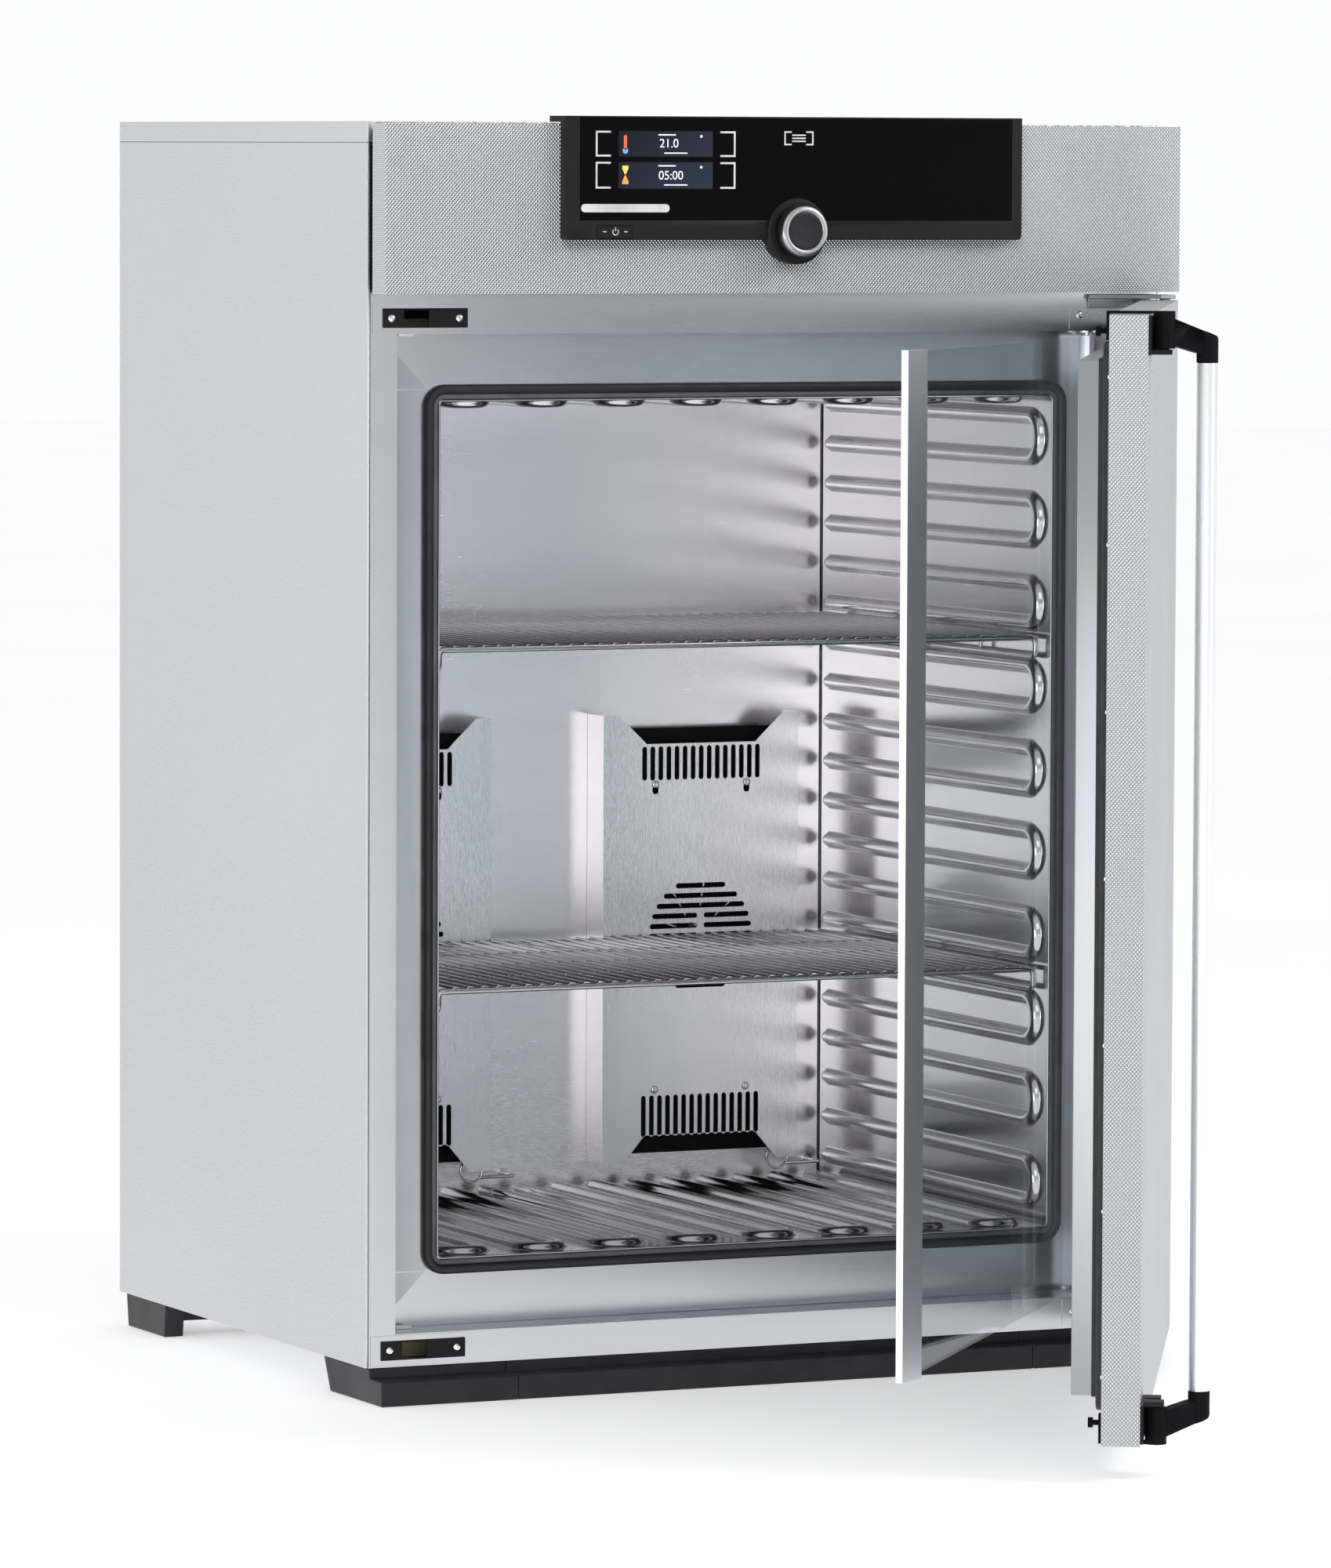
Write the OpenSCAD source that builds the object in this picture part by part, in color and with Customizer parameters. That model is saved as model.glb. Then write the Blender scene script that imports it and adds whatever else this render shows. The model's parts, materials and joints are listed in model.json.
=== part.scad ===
// Laboratory incubator of the 256 litre class: a steel cabinet with an insulated outer door and an inner
// glass door, both standing open, two wire shelves and two fans behind covers in the back of the chamber.
// Millimetres. +X is right, +Y is to the back, +Z is up, and Z = 0 is the floor.
// Inside the modules Y = 0 is the face of the upper fascia; place() moves that so the origin lies under the
// middle of the cabinet. Doors are drawn closed and then swung open about their hinge axes.

/* [Cabinet] */
// Outer width over the side panels
cabinet_w = 824; // [820:1:830]
// Depth from the fascia's face to the rear panel's face
cabinet_d = 662; // [656:1:680]
// Height from the floor to the top of the lid
cabinet_h = 1186; // [1184:1:1190]
// Height of the feet, which is also the underside of the casing
foot_h = 33; // [33:0.5:34]

/* [Chamber] */
// Clear width of the chamber
chamber_w = 640; // [636:1:642]
// Height of the shelf ribs above the liner
rib_r = 6.5; // [5:0.5:7]

/* [Doors] */
// How far the outer door stands open, in degrees
outer_open = 60; // [0:1:120]
// How far the glass door stands open, in degrees
glass_open = 49.5; // [0:0.5:99]
// Diameter of the handle bar
bar_d = 18; // [14:1:20]

/* [Shelves] */
// Diameter of the frame rods of a shelf
rod_d = 6; // [5:0.5:6.5]
// Diameter of the grid wires of a shelf
wire_d = 3.2; // [2.5:0.1:3.6]

/* [Hidden] */
$fn = 48;
sheet = 1.5;                      // thickness of the casing sheets
liner_t = 1;                      // thickness of the liner sheets
rib_pitch = 40;                   // between two neighbouring legs of the ribs
half_w = cabinet_w / 2;
mid_y = cabinet_d / 2;

// front planes, as distances behind the fascia's face
fascia_d = 30;
frame_y = 41;
recess_y = 88;

// heights
fascia_z0 = 1028;
fascia_z1 = cabinet_h - 1.2;
lid_flange = 19;
chamber_z0 = 127;
chamber_h = 800;
chamber_z1 = chamber_z0 + chamber_h;
chamber_mid_z = chamber_z0 + chamber_h / 2;
deck_z = 1005;                    // floor of the electronics compartment

// chamber
chamber_d = 500;
back_y = recess_y + chamber_d;
chamber_x = chamber_w / 2;
loop_front_y = 107;               // centre line of the bead at a loop's front bend
leg_end_y = back_y - 14;
wall_loops = 10;
floor_loops = 8;
side_clear = 0.4;                 // gap between neighbouring loose pieces
seam = 0.1;                       // hairline between the strips of one sheet or seal
gasket_x = 335;                   // outer edge of the rubber around the chamber's mouth
gasket_z = [111.5, 942.5];
gasket_band = 8;
gasket_y = 81;

// recess in the front frame
frame_x = half_w - 3;
recess_x = 382;
recess_z0 = 63.5;
recess_z1 = 990.5;

// outer door, closed
door_z0 = 33.9;
door_z1 = 1020;
door_t = 34;
door_hinge = [402.8, 12.2];
seal_x = 395;
seal_z0 = 61.7;
seal_z1 = 996;
seal_band = 11;
seal_t = 5.8;                     // pressed a little flatter than it is when free
block_x = 374;
block_z0 = 73.5;
block_z1 = 980;
block_y1 = 62;
hinge_pin_r = 5;
hinge_gap = 0.05;                 // radial running clearance of every pin

// latches and handle
strike_x = -354.5;
strike_t = 1.4;
corner_plate_t = 0.8;
strike_hole_x = 34;               // from the plate's middle to each screw
latch_hole = [32, 8.6];           // half width and half height of the frame's opening behind a strike plate
hinge_screw_x = 326;
strike_w = 85;
strike_h = 18;
strike_z = [48.5, 1005.4];
slot_x = -363.5;                  // middle of the slot that the hook enters
hook_x = -365.5;                  // of the released hook
slot_w = 25;
slot_h = 15;
corner_plate_w = 92;
pivot = [-368, -12.5];            // axis of the handle
pivot_r = 4;
barrel_r = 9.5;
bar_at = [-352, -49.5];
arm_reach = norm(bar_at - pivot);
bar_z1 = 978;
elbow_h = 24;
bearing_h = 35;
latch_mirror_z = (door_z0 + door_z1) / 2;

// glass door, closed
glass_hinge = [353, 75];
glass_x0 = -361.5;
glass_t = 5;
glass_z0 = 68;
glass_z1 = 984.4;
grip_w = 36;
grip_flare = 14.3;
glass_pin_r = 3;

// fans and their covers
fan_x = 168.5;
fan_z = 376.5;
cover_w = 215;
cover_z0 = 149;
cover_z1 = 599;
cover_d = 39;
cover_y = back_y - cover_d;
cover_screw_x = 50.3;             // from the cover's middle
cover_screw_z = [529, 222.7];
slot_count = 15;
slot_pitch = 8.9;
fan_r = 58;
intake_r = 57;
intake_rows = 5;                  // above and below the middle row
probe_x = 138;                    // from the fan's centre line
probe_z = 141.5;
clip_x = 92;                      // middle of the clip, beside the fan's centre line
clip_r = 11.8;

// shelves
shelf_levels = [347, 667];        // height of the rib leg that each shelf lies on
shelf_x = 316;
shelf_y0 = 99;
shelf_y1 = cover_y - 4;
shelf_rise = 18;                  // from the lower side rod to the upper one
grid_wires = 41;

// control panel
panel_x = 236.5;
panel_z0 = 1077.5;
panel_z1 = 1192;
panel_corner = 5;
panel_d = 11;
cutout_x = panel_x - 20;          // opening in the sheets behind the panel
cutout_z0 = panel_z0 + 14;
screen_x0 = -221.5;
screen_x1 = 226;
screen_z0 = 1095.7;
screen_z1 = 1190.5;
screen_t = 4;
knob_at = [1, 1086];
knob_r = 23.7;
cap_r = 17.2;
bezel_r = 31;
knob_front = -31;
knob_back = -17;
switch_x = [-203.5, -168];
switch_z = [1079.2, 1090.7];

// feet
foot_x = 408;
foot_joint_x = 269.5;
foot_front_y = 12;
foot_step_z = 23;
runner_x = [225, 265];

// rear fittings
inlet_at = [-250, 1080];
port_at = [0, 1085];
port_r = 30;
vent_at = [220, 1090];

steel_linen = [0.80, 0.82, 0.84];
steel_bump = [0.76, 0.78, 0.80];
steel_satin = [0.70, 0.72, 0.75];
steel_bright = [0.83, 0.83, 0.84];
black_plastic = [0.09, 0.09, 0.10];
grey_rubber = [0.20, 0.20, 0.24];
wool = [0.80, 0.76, 0.62];

// ---------- helpers ----------

// moves a piece from the drawing position to the shared frame
module place() {
  translate([0, -mid_y, 0]) children();
}

// box between two corners
module slab(x, y, z) {
  translate([x[0], y[0], z[0]]) cube([x[1] - x[0], y[1] - y[0], z[1] - z[0]]);
}

// box that is symmetric about X = 0
module wide_slab(half, y, z) {
  slab([-half, half], y, z);
}

module swing(axis_at, angle) {
  translate([axis_at[0], axis_at[1], 0]) rotate([0, 0, angle])
    translate([-axis_at[0], -axis_at[1], 0]) children();
}

module on_outer_door() { place() swing(door_hinge, outer_open) children(); }
module on_glass_door() { place() swing(glass_hinge, glass_open) children(); }

// the same piece at its own place and upside down at the other end of the door
module upside_down() {
  translate([0, 0, 2 * latch_mirror_z]) mirror([0, 0, 1]) children();
}

// rod along X, Y or Z from a point
module rod(at, axis, len, r) {
  turn = axis == "x" ? [0, 90, 0] : axis == "y" ? [-90, 0, 0] : [0, 0, 0];
  translate(at) rotate(turn) cylinder(h = len, r = r);
}

// flat frame with rounded corners, standing in the XZ plane, its front face at y0
module standing_frame(half_x, z, corner, band, y0, thick) {
  for (s = [-1, 1]) {
    slab(s > 0 ? [half_x - band, half_x] : [-half_x, band - half_x], [y0, y0 + thick],
         [z[0] + corner, z[1] - corner]);
    slab([corner - half_x, half_x - corner], [y0, y0 + thick],
         s > 0 ? [z[1] - band, z[1]] : [z[0], z[0] + band]);
    for (t = [-1, 1])
      translate([s * (half_x - corner), y0 + thick, t > 0 ? z[1] - corner : z[0] + corner])
        rotate([90, 0, 0]) rotate([0, 0, (t > 0 ? (s > 0 ? 0 : 90) : (s > 0 ? 270 : 180))])
          rotate_extrude(angle = 90) translate([corner - band, 0]) square([band, thick]);
  }
}

// round-headed screw whose head sits on the plane y = 0 and points to -Y
module screw(head_r, head_t, shank_r, shank_l) {
  difference() {
    rod([0, -head_t, 0], "y", head_t, head_r);
    rod([0, -head_t - 1, 0], "y", 1 + head_t / 2, head_r * 0.4);
  }
  rod([0, -0.01, 0], "y", shank_l, shank_r);
}

// ---------- casing ----------

module casing_side(side) {
  color(steel_linen) place() mirror([side < 0 ? 1 : 0, 0, 0]) difference() {
    slab([half_w - 16, half_w], [frame_y, cabinet_d - sheet - 0.3],
         [foot_h, cabinet_h - lid_flange - 0.3]);
    slab([half_w - 17, half_w - sheet], [frame_y + sheet, cabinet_d - 2 * sheet],
         [foot_h + sheet, cabinet_h]);
    // the front flange is only as wide as the gap beside the frame
    slab([half_w - 17, frame_x + side_clear], [frame_y - 1, frame_y + 4], [foot_h - 1, cabinet_h]);
  }
}

module casing_lid() {
  color(steel_linen) place() difference() {
    wide_slab(half_w, [frame_y, cabinet_d - sheet - 0.3], [cabinet_h - lid_flange, cabinet_h]);
    wide_slab(half_w - sheet, [frame_y + sheet, cabinet_d + 1],
              [cabinet_h - lid_flange - 1, cabinet_h - sheet]);
  }
}

module casing_rear() {
  color(steel_linen) place() difference() {
    wide_slab(half_w, [cabinet_d - sheet, cabinet_d], [foot_h, cabinet_h]);
    rod([port_at[0], cabinet_d - 5, port_at[1]], "y", 10, port_r + side_clear);
    slab([inlet_at[0] - 25, inlet_at[0] + 25], [cabinet_d - 5, cabinet_d + 5],
         [inlet_at[1] - 13, inlet_at[1] + 13]);
    // cooling slots of the electronics compartment
    for (i = [0 : 9])
      slab([vent_at[0] + i * 12, vent_at[0] + i * 12 + 5], [cabinet_d - 5, cabinet_d + 5],
           [vent_at[1] - 30, vent_at[1] + 30]);
  }
}

module casing_floor() {
  color(steel_linen) place()
    wide_slab(half_w - 17, [frame_y + 4, cabinet_d - 4], [foot_h, foot_h + sheet]);
}

module electronics_deck() {
  color(steel_satin) place()
    wide_slab(half_w - 17, [recess_y + 4, cabinet_d - 4], [deck_z, deck_z + sheet]);
}

module front_fascia() {
  color(steel_bump) place() difference() {
    wide_slab(half_w, [0, fascia_d], [fascia_z0, fascia_z1]);
    wide_slab(half_w - sheet, [sheet, fascia_d + 1], [fascia_z0 + sheet, fascia_z1 - sheet]);
    // opening behind the control panel
    wide_slab(cutout_x, [-1, sheet + 1], [cutout_z0, fascia_z1 - 14]);
    rod([knob_at[0], -1, knob_at[1]], "y", sheet + 2, 16);
  }
}

module fascia_spacer() {
  color(black_plastic) place() difference() {
    wide_slab(half_w - 8, [fascia_d - 8, frame_y], [fascia_z0 + 5, fascia_z1 - 5]);
    wide_slab(half_w - 11, [fascia_d - 9, frame_y + 1], [fascia_z0 + 8, fascia_z1 - 8]);
  }
}

// flat face around the recess for the doors, made of strips with hairline seams between them
module front_frame() {
  hole_x = [strike_x - latch_hole[0], strike_x + latch_hole[0]];
  low_hole = [strike_z[0] - latch_hole[1], strike_z[0] + latch_hole[1]];
  high_hole = [strike_z[1] - latch_hole[1], strike_z[1] + latch_hole[1]];
  top = cabinet_h - lid_flange - 2;
  color(steel_satin) place() {
    // stiles
    frame_strip([-frame_x, hole_x[0]], [foot_h, top]);
    frame_strip([hole_x[0], -recess_x], [low_hole[1], high_hole[0]]);
    frame_strip([recess_x, frame_x], [foot_h, top]);
    // around the lower latch opening, and the bottom rail
    frame_strip([hole_x[0], hole_x[1]], [foot_h, low_hole[0]]);
    frame_strip([-recess_x, hole_x[1]], [low_hole[1], recess_z0]);
    frame_strip([hole_x[1], recess_x], [foot_h, recess_z0]);
    // around the upper latch opening, and the top rail
    frame_strip([-recess_x, hole_x[1]], [recess_z1, high_hole[0]]);
    frame_strip([hole_x[0], hole_x[1]], [high_hole[1], cutout_z0]);
    frame_strip([hole_x[1], recess_x], [recess_z1, cutout_z0]);
    // around the opening behind the control panel
    frame_strip([hole_x[0], -cutout_x], [cutout_z0, top]);
    frame_strip([cutout_x, recess_x], [cutout_z0, top]);
    frame_strip([-cutout_x, cutout_x], [fascia_z1 - 24, top]);
  }
}

module frame_strip(x, z) {
  slab([x[0], x[1] - seam], [frame_y, frame_y + sheet], [z[0], z[1] - seam]);
}

// side walls of the recess and the wall around the chamber's mouth
module door_recess() {
  color(steel_satin) place() difference() {
    wide_slab(recess_x + sheet, [frame_y + sheet, recess_y + sheet], [recess_z0 - sheet, recess_z1 + sheet]);
    wide_slab(recess_x, [frame_y, recess_y], [recess_z0, recess_z1]);
    wide_slab(chamber_x + liner_t + side_clear, [recess_y - 1, recess_y + sheet + 1],
              [chamber_z0 - liner_t - side_clear, chamber_z1 + liner_t + side_clear]);
  }
}

// the left plates carry the strike plates, the right ones close the holes for a door hung on the left
module corner_plates() {
  plate_y = [frame_y - corner_plate_t, frame_y];
  color(steel_satin) place() for (z = strike_z) {
    difference() {
      slab([-frame_x + 2, -frame_x + 2 + corner_plate_w], plate_y, [z - 14, z + 14]);
      slab([strike_x - latch_hole[0], strike_x + latch_hole[0]], [frame_y - 2, frame_y + 1],
           [z - latch_hole[1], z + latch_hole[1]]);
      for (s = [-1, 1]) rod([strike_x + s * strike_hole_x, frame_y - 2, z], "y", 4, 1.9);
    }
    difference() {
      slab([frame_x - 2 - corner_plate_w, frame_x - 2], plate_y, [z - 13, z + 13]);
      rod([hinge_screw_x, frame_y - 2, z], "y", 4, 1.9);
    }
  }
}

module strike_plates() {
  color(black_plastic) place() for (z = strike_z) difference() {
    slab([strike_x - strike_w / 2, strike_x + strike_w / 2],
         [frame_y - corner_plate_t - strike_t, frame_y - corner_plate_t],
         [z - strike_h / 2, z + strike_h / 2]);
    slab([slot_x - slot_w / 2, slot_x + slot_w / 2], [frame_y - 3, frame_y],
         [z - slot_h / 2, z + slot_h / 2]);
    for (s = [-1, 1]) rod([strike_x + s * strike_hole_x, frame_y - 4, z], "y", 5, 1.9);
  }
}

module corner_screws() {
  color([0.8, 0.8, 0.8]) place() for (z = strike_z) {
    for (s = [-1, 1]) translate([strike_x + s * strike_hole_x, frame_y - corner_plate_t - strike_t, z])
      screw(3.7, 1.2, 1.8, 2.1);
    translate([hinge_screw_x, frame_y - corner_plate_t, z]) screw(3.7, 1.2, 1.8, 0.7);
  }
}

// ---------- chamber ----------

// U-shaped bead on the plane Z = 0: the bend's centre at y = 0, the legs along +Y
module rib_loop(leg_l) {
  difference() {
    union() {
      for (s = [-1, 1]) rod([s * rib_pitch / 2, 0, 0], "y", leg_l, rib_r);
      rotate([0, 0, 180]) rotate_extrude(angle = 180) translate([rib_pitch / 2, 0]) circle(r = rib_r);
    }
    translate([-rib_pitch, -rib_pitch, -2 * rib_r]) cube([2 * rib_pitch, leg_l + 2 * rib_pitch, 2 * rib_r]);
  }
}

module loop_row(count) {
  for (i = [0 : count - 1])
    translate([(i - (count - 1) / 2) * 2 * rib_pitch, loop_front_y + rib_pitch / 2, 0])
      rib_loop(leg_end_y - loop_front_y - rib_pitch / 2);
}

module liner_side(side) {
  color(steel_bright) place() mirror([side < 0 ? 1 : 0, 0, 0]) {
    slab([chamber_x, chamber_x + liner_t], [recess_y - 4, back_y],
         [chamber_z0 - liner_t, chamber_z1 + liner_t]);
    translate([chamber_x, 0, chamber_mid_z]) rotate([0, -90, 0]) loop_row(wall_loops);
  }
}

module liner_floor() {
  color(steel_bright) place() {
    wide_slab(chamber_x, [recess_y - 4, back_y], [chamber_z0 - liner_t, chamber_z0]);
    translate([0, 0, chamber_z0]) loop_row(floor_loops);
  }
}

module liner_ceiling() {
  color(steel_bright) place() {
    wide_slab(chamber_x, [recess_y - 4, back_y], [chamber_z1, chamber_z1 + liner_t]);
    translate([0, 0, chamber_z1]) rotate([0, 180, 0]) loop_row(floor_loops);
  }
}

module liner_back() {
  color(steel_bright) place() difference() {
    wide_slab(chamber_x + liner_t, [back_y, back_y + liner_t], [chamber_z0 - liner_t, chamber_z1 + liner_t]);
    for (s = [-1, 1]) {
      rod([s * fan_x, back_y - 1, fan_z], "y", 4, 8);
      rod([s * fan_x + probe_x, back_y - 1, probe_z], "y", 4, 4);
    }
  }
}

module chamber_gasket() {
  color(grey_rubber) place() {
    rim_in = gasket_band + seam;
    rim_y = gasket_y + 2.5;
    standing_frame(gasket_x, gasket_z, 20, gasket_band, gasket_y, recess_y - gasket_y);
    standing_frame(gasket_x - rim_in, [gasket_z[0] + rim_in, gasket_z[1] - rim_in], 6, 5, rim_y,
                   recess_y - rim_y);
  }
}

module insulation_wrap() {
  color(wool) place() difference() {
    wide_slab(half_w - 2.5, [recess_y + sheet + 1, back_y + liner_t], [foot_h + 2, deck_z - 1]);
    wide_slab(chamber_x + 3, [recess_y, back_y + 5], [chamber_z0 - 3, chamber_z1 + 3]);
    // room for the side panels' folded edges
    for (s = [-1, 1]) translate([s * half_w, 0, 0]) wide_slab(17, [0, cabinet_d], [0, foot_h + 2.5]);
  }
}

module insulation_rear() {
  color(wool) place() difference() {
    wide_slab(half_w - 2.5, [back_y + liner_t + 0.5, cabinet_d - 17], [foot_h + 2.5, deck_z - 1]);
    for (s = [-1, 1]) {
      rod([s * fan_x, back_y, fan_z], "y", cabinet_d - back_y, 46);
      rod([s * fan_x + probe_x, back_y, probe_z], "y", cabinet_d - back_y, 6);
    }
  }
}

// flat heating foils on the outside of the liner
module heater_mats() {
  gap = liner_t + 0.4;
  color([0.75, 0.45, 0.2]) place() {
    for (s = [-1, 1]) mirror([s < 0 ? 1 : 0, 0, 0])
      slab([chamber_x + gap, chamber_x + gap + 0.8], [130, back_y - 30], [chamber_z0 + 40, chamber_z1 - 40]);
    wide_slab(chamber_x - 30, [130, back_y - 30], [chamber_z0 - gap - 0.8, chamber_z0 - gap]);
    wide_slab(chamber_x - 30, [130, back_y - 30], [chamber_z1 + gap, chamber_z1 + gap + 0.8]);
  }
}

// ---------- fans ----------

// rows of slots inside a circle, in front of the fan; the middle rows have a bridge
module intake_slots() {
  for (row = [-intake_rows : intake_rows], s = [-1, 1]) {
    dz = row * 10;
    half = sqrt(intake_r * intake_r - dz * dz);
    inner = abs(row) <= 2 ? 3.5 : -1;
    slab(s > 0 ? [inner, half] : [-half, -inner], [-1, 3], [fan_z + dz - 2.6, fan_z + dz + 2.6]);
  }
}

module outlet_slots(z0, z1) {
  for (i = [0 : slot_count - 1]) {
    x = (i - (slot_count - 1) / 2) * slot_pitch;
    slab([x - 2.6, x + 2.6], [-1, 3], [z0, z1]);
  }
}

// trapezoid window that opens towards the end of the cover, cut through face and end
module end_window(z_wide, z_narrow) {
  translate([0, 3, 0]) rotate([90, 0, 0]) linear_extrude(height = 5)
    polygon([[-95, z_wide], [95, z_wide], [61, z_narrow], [-61, z_narrow]]);
}

module fan_cover(x) {
  color(steel_satin) place() translate([x, cover_y, 0]) difference() {
    wide_slab(cover_w / 2, [0, cover_d - 0.3], [cover_z0, cover_z1]);
    wide_slab(cover_w / 2 - liner_t, [liner_t, cover_d + 1], [cover_z0 - 1, cover_z1 + 1]);
    outlet_slots(532.5, 567);
    outlet_slots(175.5, 217);
    intake_slots();
    end_window(cover_z1 + 1, 570);
    end_window(cover_z0 - 1, 173);
    for (z = cover_screw_z, s = [-1, 1]) rod([s * cover_screw_x, -1, z], "y", 3, 2.3);
  }
}

module cover_screws() {
  color(steel_bright) place() for (x = [-fan_x, fan_x], s = [-1, 1], z = cover_screw_z)
    translate([x + s * cover_screw_x, cover_y, z]) screw(4, 1.6, 2.1, cover_d);
}

module fan_motors() {
  color([0.25, 0.26, 0.28]) place() for (s = [-1, 1]) difference() {
    union() {
      rod([s * fan_x, back_y + liner_t + 1, fan_z], "y", 48, 42);
      rod([s * fan_x, back_y + liner_t + 49, fan_z], "y", 5, 14);
    }
    rod([s * fan_x, back_y, fan_z], "y", 46, 4 + hinge_gap);
  }
}

module fan_rotor(x) {
  color([0.72, 0.73, 0.75]) place() translate([x, 0, fan_z]) {
    rod([0, cover_y + 14, 0], "y", back_y + 38 - cover_y - 14, 4);
    rod([0, cover_y + 12, 0], "y", 20, 12);
    rod([0, cover_y + 30, 0], "y", 2, fan_r);
    for (i = [0 : 8]) rotate([0, i * 40, 0])
      slab([22, fan_r - 2], [cover_y + 12, cover_y + 31], [-0.8, 0.8]);
  }
}

// a probe and its round wire clip below each cover's right corner
module temperature_probes() {
  y = cover_y + 12;
  wire_r = 1.8;
  clip_up = 7;
  rod_x = clip_x + sqrt(clip_r * clip_r - clip_up * clip_up);
  color(steel_bright) place() for (s = [-1, 1]) translate([s * fan_x, 0, 0]) {
    translate([clip_x, y, probe_z + clip_up]) rotate([90, 0, 0])
      rotate_extrude() translate([clip_r, 0]) circle(r = 1.3);
    rod([rod_x, y, probe_z], "x", probe_x - rod_x, wire_r);
    rod([probe_x, y, probe_z], "y", cover_d + 10, wire_r);
    rod([probe_x, back_y - 2.4, probe_z], "y", 2, 5);
  }
}

// ---------- shelves ----------

// wire grid with a front and a rear rod and, at each side, a low rod under the upper one
module shelf(leg_z) {
  rod_r = rod_d / 2;
  low_z = leg_z + rib_r + rod_r + side_clear;
  top_z = low_z + shelf_rise;
  side_x = shelf_x - rod_r;
  front_y = shelf_y0 + rod_r;
  rear_y = shelf_y1 - rod_r;
  quarter = (rear_y - front_y) / 4;
  color(steel_bright) place() {
    for (y = [front_y, rear_y]) rod([-shelf_x, y, top_z], "x", 2 * shelf_x, rod_r);
    for (i = [1 : 3]) rod([-side_x, front_y + i * quarter, top_z], "x", 2 * side_x, 2);
    for (s = [-1, 1]) {
      rod([s * side_x, shelf_y0, low_z], "y", shelf_y1 - shelf_y0, rod_r);
      rod([s * side_x, front_y, top_z], "y", rear_y - front_y, rod_r - 0.4);
      for (y = [front_y, rear_y]) rod([s * side_x, y, low_z], "z", shelf_rise, rod_r - 0.6);
      for (i = [1 : 3]) rod([s * side_x, front_y + i * quarter + 6, low_z], "z", shelf_rise, 1.8);
    }
    for (i = [1 : grid_wires]) {
      x = (i - (grid_wires + 1) / 2) * 2 * side_x / (grid_wires + 1);
      rod([x, front_y, top_z], "y", rear_y - front_y, wire_d / 2);
    }
  }
}

// ---------- control panel ----------

module panel_housing() {
  color(black_plastic) place() difference() {
    union() {
      wide_slab(panel_x, [-panel_d, 0], [panel_z0 + panel_corner, panel_z1]);
      wide_slab(panel_x - panel_corner, [-panel_d, 0], [panel_z0, panel_z1]);
      for (s = [-1, 1])
        rod([s * (panel_x - panel_corner), -panel_d, panel_z0 + panel_corner], "y", panel_d, panel_corner);
      wide_slab(panel_x, [-0.01, 24], [cabinet_h + 0.4, panel_z1]);
    }
    slab([screen_x0, screen_x1], [-panel_d - 1, -panel_d + screen_t], [screen_z0, screen_z1]);
    slab([screen_x0 + 8, screen_x1 - 8], [-panel_d, 1], [screen_z0 + 8, screen_z1 - 8]);
    rod([knob_at[0], -panel_d - 1, knob_at[1]], "y", panel_d + 2, bezel_r + side_clear / 2);
    slab([switch_x[0] - 0.35, switch_x[1] + 0.35], [-panel_d - 1, -1.5],
         [switch_z[0] - 0.35, switch_z[1] + 0.35]);
  }
}

module panel_glass() {
  color([0.02, 0.02, 0.03]) place() difference() {
    slab([screen_x0 + 0.3, screen_x1 - 0.3], [-panel_d, -panel_d + screen_t - 0.1],
         [screen_z0 + 0.3, screen_z1 - 0.3]);
    rod([knob_at[0], -panel_d - 1, knob_at[1]], "y", 20, bezel_r + side_clear / 2);
  }
}

module control_board() {
  color([0.05, 0.3, 0.15]) place() {
    slab([-205, -70], [3, 4.6], [1098, 1168]);
    slab([-190, -80], [-5.5, 3], [1120, 1165]);
    slab([40, 190], [3, 4.6], [1098, 1168]);
    slab([60, 120], [4.6, 20], [1110, 1150]);
  }
}

module knob_bezel() {
  color(black_plastic) place() difference() {
    rod([knob_at[0], -14, knob_at[1]], "y", 14, bezel_r);
    rod([knob_at[0], -15, knob_at[1]], "y", 16, 5 + hinge_gap);
  }
}

module knob_shaft() {
  color(steel_satin) place() {
    rod([knob_at[0], -24, knob_at[1]], "y", 34, 5);
    rod([knob_at[0], 4, knob_at[1]], "y", 14, 13);
  }
}

module knob_ring() {
  color(steel_bright) place() difference() {
    rod([knob_at[0], knob_front, knob_at[1]], "y", knob_back - knob_front, knob_r);
    rod([knob_at[0], knob_front - 1, knob_at[1]], "y", 4, cap_r);
    rod([knob_at[0], -24.5, knob_at[1]], "y", 10, 5 + hinge_gap);
  }
}

module knob_cap() {
  color(black_plastic) place() rod([knob_at[0], knob_front + 0.6, knob_at[1]], "y", 2.4, cap_r - 0.05);
}

module main_switch() {
  color(black_plastic) place() slab(switch_x, [-panel_d - 0.8, -4.5], switch_z);
}

// ---------- outer door ----------

module door_skin() {
  color(steel_bump) on_outer_door() difference() {
    wide_slab(half_w, [0, door_t - 0.1], [door_z0, door_z1]);
    wide_slab(half_w - sheet, [sheet, door_t], [door_z0 + sheet, door_z1 - sheet]);
    rod([door_hinge[0], door_hinge[1], door_z0 - 1], "z", door_z1 - door_z0 + 2, 7);
  }
}

module door_insulation() {
  color(wool) on_outer_door() difference() {
    union() {
      wide_slab(half_w - sheet - 1, [sheet + 0.5, door_t - sheet - 0.4], [door_z0 + 3, door_z1 - 3]);
      wide_slab(block_x - sheet - 1, [door_t - sheet - 1, block_y1 - sheet - 0.5],
                [block_z0 + 3, block_z1 - 3]);
    }
    for (z = [[door_z0, door_z0 + 36], [door_z1 - 36, door_z1]]) slab([382, half_w], [0, door_t], z);
    slab([398, half_w], [0, door_t], [door_z0, door_z1]);
  }
}

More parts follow.
